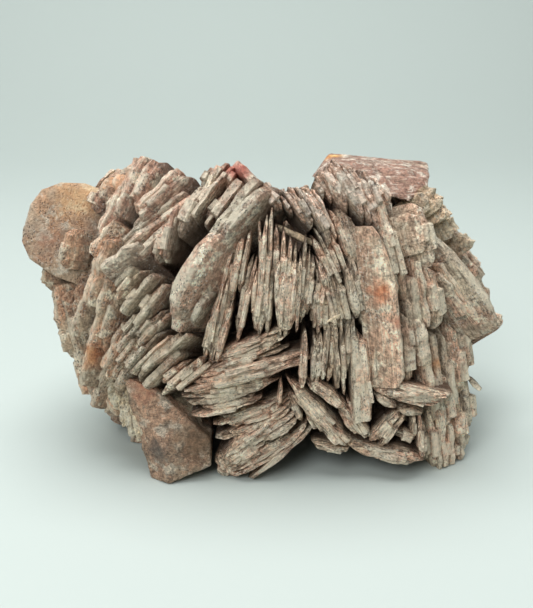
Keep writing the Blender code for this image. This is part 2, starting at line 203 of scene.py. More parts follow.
def crystal_skin_group():
    """Colour, roughness and relief of drusy barite, streaked along the blade."""
    tree, given = new_group("crystal_skin", {
        "Place": (PLACE, None), "Grain": (PLACE, None), "Tint": (NUMBER, 0.5),
        "Inward": (NUMBER, 0.0), "Body": (COLOUR, (0.5, 0.4, 0.3, 1)),
        "Blush": (COLOUR, (0.6, 0.3, 0.2, 1)), "Rim": (COLOUR, (0.7, 0.65, 0.55, 1)),
        "StainAndShade": (COLOUR, (0.2, 0.14, 0.09, 1)), "Grey": (COLOUR, (0.3, 0.28, 0.22, 1)),
        "Blushed": (NUMBER, 0.5), "RimAndGlint": (NUMBER, 0.6), "Streaked": (NUMBER, 0.5),
        "Specked": (NUMBER, 0.5), "Greyed": (NUMBER, 0.5),
        "Grained": (NUMBER, 1.0), "ShadeAndDirt": (NUMBER, 0.9),
    }, {"Color": COLOUR, "Roughness": NUMBER, "Height": NUMBER})
    place, grain, tint = given["Place"], given["Grain"], given["Tint"]

    height = add_node(tree, "ShaderNodeSeparateXYZ", {0: place}).outputs["Z"]
    patches = noise(tree, place, BLUSH_SCALE, 3.0, 0.6)
    patches = maths(tree, "ADD", patches, maths(tree, "MULTIPLY", tint, 0.20))
    near_top = between(tree, height, TOP_BLUSH_FROM, TOP_BLUSH_FULL, 0.0, 0.12)
    patches = maths(tree, "ADD", patches, near_top)
    blushed = maths(tree, "MULTIPLY", between(tree, patches, 0.50, 0.66), given["Blushed"])
    colour = mixed(tree, blushed, given["Body"], given["Blush"])
    grey = between(tree, noise(tree, place, GREY_SCALE, 4.0, 0.6), 0.50, 0.66)
    colour = mixed(tree, maths(tree, "MULTIPLY", grey, given["Greyed"]), colour, given["Grey"])
    cream = between(tree, noise(tree, place, CREAM_SCALE, 4.0, 0.65), 0.51, 0.64, 0.0, 0.85)
    colour = mixed(tree, cream, colour, given["Rim"])

    streaks = noise(tree, stretched(tree, grain, STREAK_STRETCH), 1.0, 5.0, 0.66)
    dark_lines = maths(tree, "MULTIPLY", between(tree, streaks, 0.51, 0.38), given["Streaked"])
    pale_lines = maths(tree, "MULTIPLY", between(tree, streaks, 0.53, 0.66), given["Streaked"])
    colour = mixed(tree, dark_lines, colour, given["StainAndShade"])
    colour = mixed(tree, pale_lines, colour, given["Rim"])

    grains = noise(tree, place, GRAIN_SCALE, 5.0, 0.72)
    lightness = between(tree, grains, 0.30, 0.68, -0.50, 0.50)
    crumbs = noise(tree, place, CRUMB_SCALE, 2.0, 0.6)
    lightness = maths(tree, "ADD", lightness, between(tree, crumbs, 0.32, 0.68, -0.22, 0.24))
    lightness = maths(tree, "ADD", maths(tree, "MULTIPLY", lightness, given["Grained"]), 1.0)
    lightness = maths(tree, "MULTIPLY", lightness, between(tree, tint, 0.0, 1.0, 0.78, 1.22))
    colour = mixed(tree, 1.0, colour, lightness, "MULTIPLY")

    broken = between(tree, noise(tree, place, BROKEN_SCALE, 3.0), 0.36, 0.56, 0.2, 1.0)
    # Pale rims: partly the pale crust of the crystals, partly a painted highlight along their
    # edges.
    pale_lit_rim = between(tree, given["Inward"], RIM_WIDE, RIM_EDGE)
    pale_lit_rim = maths(tree, "MULTIPLY", pale_lit_rim, broken)
    colour = mixed(tree, maths(tree, "MULTIPLY", pale_lit_rim, given["RimAndGlint"]), colour, given["Rim"])

    # Dirt and painted shade: away from its rims a blade darkens towards the dark stain colour,
    # standing in for the shade deep between the blades as well as for dirt.
    deep = between(tree, given["Inward"], SHADE_DIRT_FROM, SHADE_DIRT_FULL)
    deep = maths(tree, "MULTIPLY", deep, given["ShadeAndDirt"])
    colour = mixed(tree, deep, colour, given["StainAndShade"])

    pits = add_node(tree, "ShaderNodeTexVoronoi",
                    {"Vector": stretched(tree, grain, PIT_STRETCH), "Scale": 1.0},
                    feature="F1").outputs["Distance"]
    where = between(tree, noise(tree, place, CLUSTER_SCALE, 3.0), 0.42, 0.58)
    pits = maths(tree, "MULTIPLY", between(tree, pits, 0.34, 0.16), where)
    pits = maths(tree, "MULTIPLY", pits, given["Specked"])
    colour = mixed(tree, pits, colour, PIT_DIRT)

    # White frost specks, partly painted glints: tiny white specks mixed into the colour, where the
    # roughness is also lowered below.
    frost_glint = between(tree, noise(tree, place, FROST_SCALE, 2.0, 0.7), 0.58, 0.70)
    frost_glint_patches = between(tree, noise(tree, place, CLUSTER_SCALE), 0.44, 0.6)
    frost_glint = maths(tree, "MULTIPLY", frost_glint, frost_glint_patches)
    colour = mixed(tree, maths(tree, "MULTIPLY", frost_glint, given["RimAndGlint"]), colour, FROST_GLINT_WHITE)

    shine = maths(tree, "SUBTRACT", between(tree, grains, 0.3, 0.7, 0.72, 0.50),
                  maths(tree, "MULTIPLY", frost_glint, 0.22))
    fine = noise(tree, place, FROST_SCALE, 3.0, 0.65)
    relief = maths(tree, "ADD", maths(tree, "MULTIPLY", streaks, given["Streaked"]), grains)
    relief = maths(tree, "ADD", relief, maths(tree, "MULTIPLY", fine, 0.8))
    relief = maths(tree, "SUBTRACT", relief, maths(tree, "MULTIPLY", pits, 0.6))
    add_node(tree, "NodeGroupOutput", {"Color": colour, "Roughness": shine, "Height": relief})
    return tree


crystal_skin = crystal_skin_group()
# A piece without its blades' attributes is this light, and this far in from its rims.
EVEN_TINT, WELL_INSIDE = 0.5, 2.0
# A stain is full within the first share of its radius, gone at the second and ragged by the
# third, and it covers at most this much and is shaded by this much.
STAIN_FULL, STAIN_GONE, STAIN_RAGGED = 0.9, 1.9, 1.3
STAIN_COVER, STAIN_SHADE = 0.85, 0.6


def barite(name, body, blush, rim, stain_and_shade, grey, shares, relief=1.1, grain_scale=None,
           grained=1.0, shade_and_dirt=0.9, spots=()):
    """A barite finish from its five colours and its shares.

    The shares are how much it is blushed, rimmed with pale crystal, painted edge highlight and
    painted glints, streaked, pitted and greyed. Relief is in millimetres. With no grain scale it
    follows each blade's own grain.
    Grained is how strong its grains are; the darkening share is how much it darkens away from its
    rims, as dirt and as painted shade.
    Spots are stained places, and on the chunk one patch of painted shade: centre, radius and
    colour.
    """
    blushed, rim_and_glint, streaked, specked, greyed = shares
    material = bpy.data.materials.new(name)
    material.use_nodes = True
    tree = material.node_tree
    place = add_node(tree, "ShaderNodeTexCoord").outputs["Object"]
    if grain_scale is None:
        grain = add_node(tree, "ShaderNodeAttribute", attribute_name="grain").outputs["Vector"]
        tint = add_node(tree, "ShaderNodeAttribute", attribute_name="tint").outputs["Fac"]
        inward = add_node(tree, "ShaderNodeAttribute", attribute_name="inward").outputs["Fac"]
    else:
        grain = stretched(tree, place, (grain_scale / MM, grain_scale / MM, grain_scale / MM))
        tint, inward = EVEN_TINT, WELL_INSIDE
    skin = add_node(tree, "ShaderNodeGroup",
                    {"Place": place, "Grain": grain, "Tint": tint, "Inward": inward,
                     "Body": (*body, 1), "Blush": (*blush, 1), "Rim": (*rim, 1),
                     "StainAndShade": (*stain_and_shade, 1), "Grey": (*grey, 1), "Blushed": blushed,
                     "RimAndGlint": rim_and_glint, "Streaked": streaked, "Specked": specked,
                     "Greyed": greyed, "Grained": grained, "ShadeAndDirt": shade_and_dirt},
                    node_tree=crystal_skin)
    colour = skin.outputs["Color"]
    for centre, radius, stain_colour in spots:
        away = add_node(tree, "ShaderNodeVectorMath",
                        {0: place, 1: tuple(value * MM for value in centre)},
                        operation="DISTANCE").outputs["Value"]
        ragged = maths(tree, "MULTIPLY", noise(tree, place, RAGGED_SCALE, 3.0),
                       radius * STAIN_RAGGED * MM)
        share = between(tree, maths(tree, "ADD", away, ragged), radius * STAIN_GONE * MM,
                        radius * STAIN_FULL * MM, 0.0, STAIN_COVER)
        lit = mixed(tree, STAIN_SHADE, (*stain_colour, 1), colour, "OVERLAY")
        colour = mixed(tree, share, colour, lit)
    bump = add_node(tree, "ShaderNodeBump", {"Strength": 1.0, "Distance": relief * MM,
                                             "Height": skin.outputs["Height"]})
    shader = tree.nodes["Principled BSDF"]
    tree.links.new(colour, shader.inputs["Base Color"])
    tree.links.new(skin.outputs["Roughness"], shader.inputs["Roughness"])
    tree.links.new(bump.outputs["Normal"], shader.inputs["Normal"])
    return material


def inner_mass():
    lumps = []
    for x, y, z, wide, deep, high in INNER_LUMPS:
        start_clean()
        bpy.ops.mesh.primitive_ico_sphere_add(subdivisions=4, radius=MM,
                                              location=(x * MM, y * MM, z * MM))
        lump = bpy.context.object
        lump.scale = (wide, deep, high)
        lumps.append(lump)
    mass = join(lumps, "inner_mass")
    settle(mass)
    apply_modifier(mass, "REMESH", mode="VOXEL", voxel_size=INNER_VOXEL * MM)
    for size, height in INNER_DENTS:
        roughen(mass, size, height)
    cut_level(mass, BASE_LEVEL)
    return mass


inner = inner_mass()
# Painted shade: the inner mass gets near-black colours so that the crevices between the blades
# read dark.
barite_piece(inner, barite("crevice_shade_barite", body=(0.09, 0.06, 0.04), blush=(0.14, 0.07, 0.04),
                           rim=(0.16, 0.12, 0.09), stain_and_shade=(0.04, 0.028, 0.018),
                           grey=(0.05, 0.045, 0.03), shares=(0.4, 0.0, 0.0, 0.6, 0.5),
                           grain_scale=1.0))


# ---------------------------------------------------------------------------
# Left lobes and shingles: broad thin crystals that overlap like tiles at the far left,
# turned so that their faces show. The top one is a smooth peach-coloured lobe.
# ---------------------------------------------------------------------------
# A front book is placed by sight: view points across and down at the two ends of its rims,
# then how far out the rims stand, its width, the turn of its rims to the left, and depth.
VIEW_MIDDLE = (266.5, 304.0)
VIEW_FOCUS = 929.0
EYE_DISTANCE = 348.0
EYE_TILT = 18.0
EYE_HEIGHT = 50.0
LOBES = (
    (6, 258, 40, 166, -26, 5.0, 78, 34),
    (97, 196, 101, 174, -27, 2.6, 70, 9), (106, 190, 108, 172, -28, 2.4, 66, 8),
)
SHINGLES = (
    (56, 268, 62, 228, -34, 2.6, 66, 10), (36, 284, 46, 258, -24, 3.4, 78, 20),
    (52, 330, 46, 285, -28, 4.2, 80, 20), (62, 362, 52, 318, -29, 4.2, 80, 20),
    (92, 412, 54, 296, -31, 3.6, 62, 16), (74, 396, 62, 346, -30, 4.2, 78, 20),
    (84, 362, 60, 286, -35, 3.4, 56, 18), (68, 336, 84, 276, -38, 4.2, 60, 20),
    (80, 304, 98, 236, -40, 4.6, 58, 22), (84, 250, 108, 215, -36, 5.0, 60, 22),
    (84, 356, 108, 272, -43, 4.6, 48, 22), (76, 384, 92, 326, -38.5, 4.2, 56, 20),
    (94, 380, 120, 318, -43.5, 4.4, 44, 22), (86, 406, 102, 358, -36, 4.0, 54, 20),
    (102, 396, 124, 352, -43, 4.0, 42, 20), (96, 396, 110, 420, -34, 4.0, 60, 18),
)
PITCH_START, PITCH_RISE, PITCH_MOST = 80.0, 28.0, 38.0
BLANK_SIDES = 8
# Across a blank: place round it, set back from the rim and flatness, as shares.
SECTION = ((0.04, 0.0, 0.66), (0.31, 0.07, 0.98), (0.69, 0.36, 1.0), (0.96, 1.0, 0.80))
# Stations along a blank: place along it, how far its rim stands back, and its thickness.
LOBE = ((-0.50, 0.44, 0.40), (-0.42, 0.18, 0.70), (-0.28, 0.04, 0.90), (-0.10, 0.0, 1.0),
        (0.10, 0.0, 1.0), (0.28, 0.05, 0.90), (0.42, 0.20, 0.75), (0.50, 0.42, 0.45))
KITE = ((-0.50, 0.20, 0.70), (-0.44, 0.05, 0.90), (-0.26, 0.0, 1.0), (-0.04, 0.03, 1.0),
        (0.16, 0.10, 0.96), (0.32, 0.24, 0.88), (0.44, 0.42, 0.68), (0.50, 0.56, 0.40))
SPLINTER = ((-0.50, 0.34, 0.16), (-0.41, 0.13, 0.50), (-0.24, 0.03, 0.86), (-0.04, 0.0, 1.0),
            (0.18, 0.03, 0.92), (0.33, 0.08, 0.72), (0.44, 0.17, 0.44), (0.50, 0.32, 0.12))
TABLET = ((-0.50, 0.14, 0.74), (-0.47, 0.03, 0.90), (-0.28, 0.0, 0.96), (-0.06, 0.03, 1.0),
          (0.16, 0.0, 1.0), (0.34, 0.03, 0.95), (0.47, 0.05, 0.86), (0.50, 0.18, 0.66))
STEPPED = ((-0.50, 0.24, 0.36), (-0.40, 0.12, 0.70), (-0.28, 0.09, 0.80), (-0.25, 0.0, 1.0),
           (0.12, 0.0, 0.96), (0.15, 0.10, 0.86), (0.38, 0.13, 0.70), (0.50, 0.30, 0.24))


def blade_blank(name, stations):
    """One blade, 1 long, 1 deep and 1 thick: a flat section drawn out station by station.

    It runs along X with its rim at y = 0 and its root at y = 1.
    """
    start_clean()
    first = stations[0]
    bpy.ops.mesh.primitive_circle_add(vertices=BLANK_SIDES, radius=0.5, fill_type="NGON",
                                      location=(first[0], 0, 0),
                                      rotation=(0, math.radians(90), 0))
    bpy.ops.object.transform_apply(location=True, rotation=True, scale=True)
    blank = bpy.context.object
    bpy.ops.object.mode_set(mode="EDIT")
    bpy.ops.mesh.select_all(action="SELECT")
    bpy.ops.transform.rotate(value=math.pi / BLANK_SIDES, orient_axis="X",
                             center_override=(0.0, 0.0, 0.0))
    along = first[0]
    for place, _, _ in stations[1:]:
        bpy.ops.mesh.extrude_region_move(
            TRANSFORM_OT_translate={"value": (place - along, 0, 0)})
        along = place
    bpy.ops.object.mode_set(mode="OBJECT")
    shape_blank(blank, stations)
    blank.name = blank.data.name = name
    return blank


def shape_blank(blank, stations):
    """Set each ring's rim, widest line and root, then turn the faces outward."""
    for vert in blank.data.vertices:
        station = min(stations, key=lambda entry: abs(entry[0] - vert.co.x))
        _, back, thick = station
        around = vert.co.y + 0.5
        _, set_back, flat = min(SECTION, key=lambda entry: abs(entry[0] - around))
        vert.co.y = back + set_back * (1.0 - back)
        vert.co.z = math.copysign(0.5 * flat * thick, vert.co.z)
    take(blank)
    bpy.ops.object.mode_set(mode="EDIT")
    bpy.ops.mesh.select_all(action="SELECT")
    bpy.ops.mesh.normals_make_consistent(inside=False)
    bpy.ops.object.mode_set(mode="OBJECT")


SIDES = {
    "front": (Vector((1, 0, 0)), Vector((0, 0, 1)), Vector((0, -1, 0))),
    "back": (Vector((-1, 0, 0)), Vector((0, 0, 1)), Vector((0, 1, 0))),
    "right": (Vector((0, 1, 0)), Vector((0, 0, 1)), Vector((1, 0, 0))),
    "left": (Vector((0, -1, 0)), Vector((0, 0, 1)), Vector((-1, 0, 0))),
    "top": (Vector((1, 0, 0)), Vector((0, 1, 0)), Vector((0, 0, 1))),
}


def tipped_back(side, height):
    """Directions up and out of one side, tipped back near the top of the cluster."""
    right, upward, outward = SIDES[side]
    pitch = PITCH_MOST * min(1.0, max(0.0, (height - PITCH_START) / PITCH_RISE))
    if side == "top":
        pitch = 0.0
    tip_back = Matrix.Rotation(math.radians(-pitch), 3, right)
    return tip_back @ upward, tip_back @ outward


def turned_axes(run, outward, turn):
    """Directions along a book's blades, out of its rims and through its stack."""
    across = run.cross(outward)
    rim = outward * math.cos(math.radians(turn)) - across * math.sin(math.radians(turn))
    return run, rim, run.cross(rim)


def eye_axes():
    """The way the eye of the front view looks, and its way up."""
    tilt = math.radians(EYE_TILT)
    return (Vector((0, math.cos(tilt), -math.sin(tilt))),
            Vector((0, math.sin(tilt), math.cos(tilt))))


def sight_line(across, down):
    """The eye of the front view, and the way it looks through one view point."""
    forward, upward = eye_axes()
    way = forward + Vector((1, 0, 0)) * ((across - VIEW_MIDDLE[0]) / VIEW_FOCUS)
    way += upward * ((VIEW_MIDDLE[1] - down) / VIEW_FOCUS)
    return Vector((0, 0, EYE_HEIGHT)) - forward * EYE_DISTANCE, way


def book_by_sight(first, second, out, turn):
    """A front book's middle, axes and length from the view points of its two ends."""
    eye, way = sight_line((first[0] + second[0]) / 2.0, (first[1] + second[1]) / 2.0)
    middle = eye + way * ((out - eye.y) / way.y)
    outward = tipped_back("front", middle.z)[1]
    ends = []
    for point in (first, second):
        way = sight_line(*point)[1]
        ends.append(eye + way * ((middle - eye).dot(outward) / way.dot(outward)))
    run = ends[0] - ends[1]
    length = run.length
    run = run.normalized() if run.z > 0.0 else -run.normalized()
    return sum(ends, Vector()) / 2.0, turned_axes(run, outward, turn), length


def stains(rows):
    """Stained places, and one of painted shade on the chunk: each row has a view point, how far
    out it is, a radius and a colour.
    """
    places = []
    for across, down, out, radius, colour in rows:
        eye, way = sight_line(across, down)
        places.append((eye + way * ((out - eye.y) / way.y), radius, colour))
    return places


def set_attribute(mesh, name, kind, field, values):
    """Store one value for each of the mesh's points."""
    attribute = mesh.attributes.new(name, kind, "POINT")
    attribute.data.foreach_set(field, values)


RIM_KNOCK, SIDE_KNOCK, SWELL = 0.50, 0.12, 0.12
SLAB_WEAR = 0.45  # how much of these a broad smooth crystal shows
GRAIN_APART = 400.0  # each blade's grain starts somewhere within this reach


def add_blade(blank, centre, axes, size, chance, wear):
    """One blade of its own size, knocked a little out of true at every station."""
    length, depth, thick = size
    mesh = blank.data.copy()
    grain, inward = [], []
    start = [chance.uniform(0.0, GRAIN_APART) for _ in range(3)]
    knocks = {}
    for vert in mesh.vertices:
        ring = round(vert.co.x, 3)
        if ring not in knocks:
            knocks[ring] = (chance.gauss(0.0, RIM_KNOCK * wear),
                            chance.gauss(0.0, SIDE_KNOCK * wear),
                            chance.gauss(0.0, SWELL * wear))
        recess, shift, swell = knocks[ring]
        along = vert.co.x * length + chance.gauss(0.0, SIDE_KNOCK * wear)
        deep = vert.co.y * depth + recess * (1.0 - vert.co.y)
        high = vert.co.z * thick * (1.0 + swell) + shift
        vert.co = (along, deep, high)
        grain += [start[0] + along, start[1] + deep, start[2] + high]
        inward.append(max(0.0, deep))
    set_attribute(mesh, "grain", "FLOAT_VECTOR", "vector", grain)
    set_attribute(mesh, "inward", "FLOAT", "value", inward)
    tint = chance.random()
    run, rim, stack = axes
    set_attribute(mesh, "tint", "FLOAT", "value", [tint] * len(mesh.vertices))
    set_attribute(mesh, "outward", "FLOAT_VECTOR", "vector", list(rim) * len(mesh.vertices))
    turned = Matrix((run, -rim, stack)).transposed().to_4x4()
    if turned.determinant() < 0.0:
        turned = Matrix((run, -rim, -stack)).transposed().to_4x4()
    mesh.transform(Matrix.Scale(MM, 4) @ Matrix.Translation(centre) @ turned)
    blade = bpy.data.objects.new(blank.name, mesh)
    bpy.context.scene.collection.objects.link(blade)
    return blade


BLADE_SHORTEST, EDGE_SHORTER = 0.58, 0.10  # shares of the book's length
BLADE_THINNEST, BLADE_THICKEST = 0.75, 1.5  # shares of an even blade
LEAN_ASKEW, FACE_ASKEW = 1.4, 2.5  # degrees
BLADE_BACK, EDGE_BACK = 1.1, 0.5
THICK_BOOK, BODY_SET_BACK, BODY_SHARE = 2, 1.3, 0.86


def lay_book(blades, blanks, chance, centre, axes, book, pitch, wear):
    """Stack a book's blades side by side, each set a little back, along or askew.

    In a thick book a body stands just behind their rims, where they grew together.
    """
    length, width, depth = book
    count = max(1, round(width / pitch))
    thick = width / count
    run, rim, stack = axes
    for number in range(count):
        off_middle = number - (count - 1) / 2.0
        edge = abs(off_middle) / (count / 2.0)
        long = length * chance.uniform(BLADE_SHORTEST, 1.0) * (1.0 - EDGE_SHORTER * edge)
        if number == count // 2:
            long = length
        slide = chance.uniform(-0.5, 0.5) * (length - long)
        askew = (Matrix.Rotation(math.radians(chance.gauss(0.0, LEAN_ASKEW)), 3, rim)
                 @ Matrix.Rotation(math.radians(chance.gauss(0.0, FACE_ASKEW)), 3, run))
        rim_place = (centre + stack * (off_middle * thick) + run * slide
                     - rim * (abs(chance.gauss(0.0, BLADE_BACK)) + EDGE_BACK * edge))
        blank = chance.choice(blanks)
        size = (long, depth, thick * chance.uniform(BLADE_THINNEST, BLADE_THICKEST))
        blades.append(add_blade(blank, rim_place, (askew @ run, askew @ rim, askew @ stack),
                                size, chance, wear))
    if count > THICK_BOOK:
        blades.append(add_blade(blanks[0], centre - rim * BODY_SET_BACK, axes,
                                (length * BODY_SHARE, depth, width * BODY_SHARE), chance, wear))


def grow_books(name, books, blanks, pitch, seed, worn, levels=2):
    """All the books of one group, front side, made one piece with a drusy skin."""
    chance = random.Random(seed)
    blades = []
    wear = SLAB_WEAR if worn == slabbed else 1.0
    for across, down, next_across, next_down, out, width, turn, depth in books:
        middle, axes, length = book_by_sight((across, down), (next_across, next_down), out, turn)
        lay_book(blades, blanks, chance, middle, axes, (length, width, depth), pitch, wear)
    return druse(join(blades, name), levels, worn)


GROOVE_SPREAD, GRIT_SPREAD = (0.12, 0.6, 1.5), (700.0, 700.0, 700.0)
CHIP_LEVEL, CHIP_REACH = 0.65, 4.0  # share of rim that stays in, and depth that chips reach


def weathering(name, chip_spread, chip_height, groove, rough):
    """Geometry nodes that chip the rims in steps, groove the blades and roughen them."""
    tree = bpy.data.node_groups.new(name, "GeometryNodeTree")
    tree.interface.new_socket("Geometry", in_out="INPUT", socket_type="NodeSocketGeometry")
    tree.interface.new_socket("Geometry", in_out="OUTPUT", socket_type="NodeSocketGeometry")
    into = tree.nodes.new("NodeGroupInput")
    kinds = {"grain": "FLOAT_VECTOR", "outward": "FLOAT_VECTOR", "inward": "FLOAT"}
    grain, outward, inward = (
        add_node(tree, "GeometryNodeInputNamedAttribute", {"Name": name},
                 data_type=kind).outputs["Attribute"] for name, kind in kinds.items())
    place = tree.nodes.new("GeometryNodeInputPosition").outputs[0]
    normal = tree.nodes.new("GeometryNodeInputNormal").outputs[0]

    def scaled(vector, value):
        return add_node(tree, "ShaderNodeVectorMath", {0: vector, "Scale": value},
                        operation="SCALE").outputs[0]

    def spread_out(vector, spread):
        return add_node(tree, "ShaderNodeVectorMath", {0: vector, 1: spread},
                        operation="MULTIPLY").outputs[0]

    def waves(vector, spread, height, detail):
        level = noise(tree, spread_out(vector, spread), 1.0, detail)
        return maths(tree, "MULTIPLY", maths(tree, "SUBTRACT", level, 0.5), height * 2.0 * MM)

    chips = add_node(tree, "ShaderNodeTexVoronoi",
                     {"Vector": spread_out(grain, chip_spread), "Scale": 1.0},
                     feature="F1").outputs["Color"]
    chips = add_node(tree, "ShaderNodeSeparateXYZ", {0: chips}).outputs["X"]
    chips = maths(tree, "MULTIPLY", maths(tree, "SUBTRACT", chips, CHIP_LEVEL),
                  chip_height * MM)
    chips = maths(tree, "MULTIPLY", chips, between(tree, inward, CHIP_REACH, 0.0))
    skin = maths(tree, "ADD", waves(grain, GROOVE_SPREAD, groove, 2.0),
                 waves(place, GRIT_SPREAD, rough, 3.0))
    offset = add_node(tree, "ShaderNodeVectorMath",
                      {0: scaled(outward, chips), 1: scaled(normal, skin)},
                      operation="ADD").outputs[0]
    moved = add_node(tree, "GeometryNodeSetPosition",
                     {"Geometry": into.outputs[0], "Offset": offset})
    add_node(tree, "NodeGroupOutput", {0: moved.outputs[0]})
    return tree


splintered = weathering("splintered", chip_spread=(0.40, 0.10, 0.55), chip_height=1.2,
                        groove=0.26, rough=0.24)
slabbed = weathering("slabbed", chip_spread=(0.16, 0.10, 0.34), chip_height=0.7,
                     groove=0.12, rough=0.16)


def druse(piece, levels, worn):
    """Divide the blades finely, keep their edges, and roughen their rims and skin."""
    apply_modifier(piece, "SUBSURF", subdivision_type="SIMPLE", levels=levels,
                   render_levels=levels)
    apply_modifier(piece, "NODES", node_group=worn)
    cut_level(piece, 0.0)
    return piece


lobe = blade_blank("lobe_blade", LOBE)
splinter = blade_blank("splinter_blade", SPLINTER)
tablet = blade_blank("tablet_blade", TABLET)
stepped = blade_blank("stepped_blade", STEPPED)
kite = blade_blank("kite_blade", KITE)
blanks_to_clear = (lobe, splinter, tablet, stepped, kite)

LOBE_STAINS = (  # view point across and down, how far out, radius and colour
    (80, 200, -22, 9.0, (0.80, 0.56, 0.36)), (44, 245, -24, 9.0, (0.42, 0.22, 0.15)),
)
SHINGLE_STAINS = ((92, 357, -40, 6.0, (0.62, 0.30, 0.15)),)
lobes = grow_books("left_lobes", LOBES, (lobe,), pitch=6.0, seed=11, worn=slabbed)
barite_piece(lobes, barite("lobe_barite", body=(0.64, 0.46, 0.31), blush=(0.66, 0.38, 0.22),
                           rim=(0.86, 0.77, 0.62), stain_and_shade=(0.42, 0.27, 0.18),
                           grey=(0.42, 0.32, 0.25), shares=(0.9, 0.5, 0.1, 0.7, 0.5),
                           grained=0.6, shade_and_dirt=0.1, spots=stains(LOBE_STAINS)))
shingles = grow_books("left_shingles", SHINGLES, (stepped, tablet), pitch=2.2, seed=31,
                      worn=slabbed)
barite_piece(shingles, barite("shingle_barite", body=(0.50, 0.37, 0.25), blush=(0.52, 0.26, 0.15),
                              rim=(0.88, 0.78, 0.60), stain_and_shade=(0.14, 0.09, 0.055),
                              grey=(0.28, 0.24, 0.17), shares=(0.75, 0.6, 0.3, 0.8, 0.55),
                              shade_and_dirt=0.6, spots=stains(SHINGLE_STAINS)))


# ---------------------------------------------------------------------------
# Leaning books of the upper left: stacks of flattened blades that lean to the right,
# grown one behind another, dusty pink with pale rims and dark dirt between them.
# ---------------------------------------------------------------------------
UPPER_LEFT_BOOKS = (
    # The crest, from the left edge to the first fingers.
    (80, 205, 92, 180, -26, 4.0, 62, 20), (92, 200, 108, 172, -28, 4.6, 60, 20),
    (94, 234, 120, 176, -32, 4.6, 50, 20), (110, 212, 136, 151, -32, 4.6, 42, 20),
    (124, 204, 152, 151, -33, 4.6, 38, 20),
    (131, 212, 182, 163, -36, 5.4, 35, 20), (116, 240, 186, 186, -40, 4.2, 35, 20),
    (126, 224, 176, 180, -38, 2.6, 35, 18), (133, 252, 214, 170, -40, 3.4, 30, 20),
    # Short steep ones under the fingers.
    (97, 266, 136, 238, -44, 3.2, 62, 22), (155, 262, 166, 204, -45, 4.6, 22, 20),
    (163, 240, 176, 200, -43, 2.6, 20, 18), (146, 262, 160, 222, -43, 3.6, 30, 20),
    (170, 230, 200, 178, -41, 3.4, 22, 20), (188, 212, 220, 172, -40, 3.6, 15, 19),
    (200, 220, 232, 182, -41, 3.6, 10, 19), (213, 214, 240, 178, -41, 3.0, 5, 19),
    (196, 196, 214, 160, -36, 4.0, 15, 19), (206, 190, 230, 156, -35, 4.4, 10, 19),
    (222, 182, 236, 160, -33, 3.6, 0, 19), (234, 160, 256, 182, -33, 3.4, 0, 17),
)
UPPER_LEFT_STAINS = (
    (238, 170, -30, 5.0, (0.45, 0.14, 0.12)), (112, 176, -28, 6.0, (0.55, 0.30, 0.18)),
)
upper_left = grow_books("upper_left_books", UPPER_LEFT_BOOKS, (tablet, stepped), pitch=2.4,
                        seed=12, worn=slabbed)
barite_piece(upper_left, barite("upper_left_barite", body=(0.50, 0.37, 0.27),
                                blush=(0.52, 0.27, 0.18), rim=(0.92, 0.82, 0.64),
                                stain_and_shade=(0.13, 0.09, 0.06), grey=(0.27, 0.23, 0.17),
                                shares=(0.8, 0.6, 0.5, 0.7, 0.5), shade_and_dirt=0.85,
                                spots=stains(UPPER_LEFT_STAINS)))


# ---------------------------------------------------------------------------
# Drusy ridge: one big crystal between the left books and the upright ones, crusted with
# small crystals all over, its left rim broken in pale steps.
# ---------------------------------------------------------------------------
RIDGE_BOOKS = (
    (161, 322, 205, 226, -50.5, 4.8, 48, 17), (172, 300, 200, 244, -49.5, 4.6, 30, 22),
    (166, 328, 166, 284, -49, 4.6, 45, 20), (208, 240, 264, 172, -46, 8.0, 28, 22),
    (206, 232, 246, 202, -47, 3.0, 20, 15), (176, 316, 204, 268, -49.5, 3.4, 38, 22),
    (168, 330, 186, 296, -49, 3.4, 38, 22), (186, 330, 206, 290, -50, 3.4, 25, 20),
)
ridge = grow_books("drusy_ridge", RIDGE_BOOKS, (lobe, tablet), pitch=4.0, seed=13,
                   worn=slabbed)
barite_piece(ridge, barite("ridge_barite", body=(0.50, 0.38, 0.27), blush=(0.52, 0.28, 0.19),
                           rim=(0.92, 0.83, 0.65), stain_and_shade=(0.13, 0.08, 0.05),
                           grey=(0.30, 0.27, 0.20), shares=(0.6, 0.8, 0.25, 1.0, 0.6),
                           relief=1.6, shade_and_dirt=0.3))


# ---------------------------------------------------------------------------
# Short ribs of the middle left: small stacks of blades that fill the space under the
# leaning books and slope the same way, darker because they lie in their shade.
# ---------------------------------------------------------------------------
MIDDLE_LEFT_BOOKS = (
    (105, 296, 136, 262, -44, 4.0, 50, 22), (116, 310, 150, 270, -45, 4.2, 42, 22),
    (128, 322, 160, 282, -46, 3.6, 38, 20), (112, 346, 150, 300, -45.5, 4.2, 36, 22),
    (122, 352, 162, 306, -46.5, 3.6, 34, 20), (100, 372, 146, 316, -45, 4.4, 36, 24),
    (112, 376, 156, 326, -46, 3.8, 34, 22), (128, 378, 172, 332, -47, 3.6, 34, 20),
    (150, 360, 184, 330, -48, 3.8, 34, 20), (140, 388, 176, 350, -47.5, 3.4, 32, 20),
    (152, 392, 198, 352, -49, 5.0, 28, 20), (172, 388, 206, 362, -50, 3.6, 20, 18),
)
middle_left = grow_books("middle_left_ribs", MIDDLE_LEFT_BOOKS, (tablet, stepped),
                         pitch=2.4, seed=14, worn=slabbed)
barite_piece(middle_left, barite("middle_left_barite", body=(0.45, 0.34, 0.23),
                                 blush=(0.46, 0.25, 0.16), rim=(0.86, 0.76, 0.58),
                                 stain_and_shade=(0.12, 0.08, 0.05), grey=(0.24, 0.21, 0.14),
                                 shares=(0.75, 0.6, 0.5, 0.8, 0.55), shade_and_dirt=0.8))


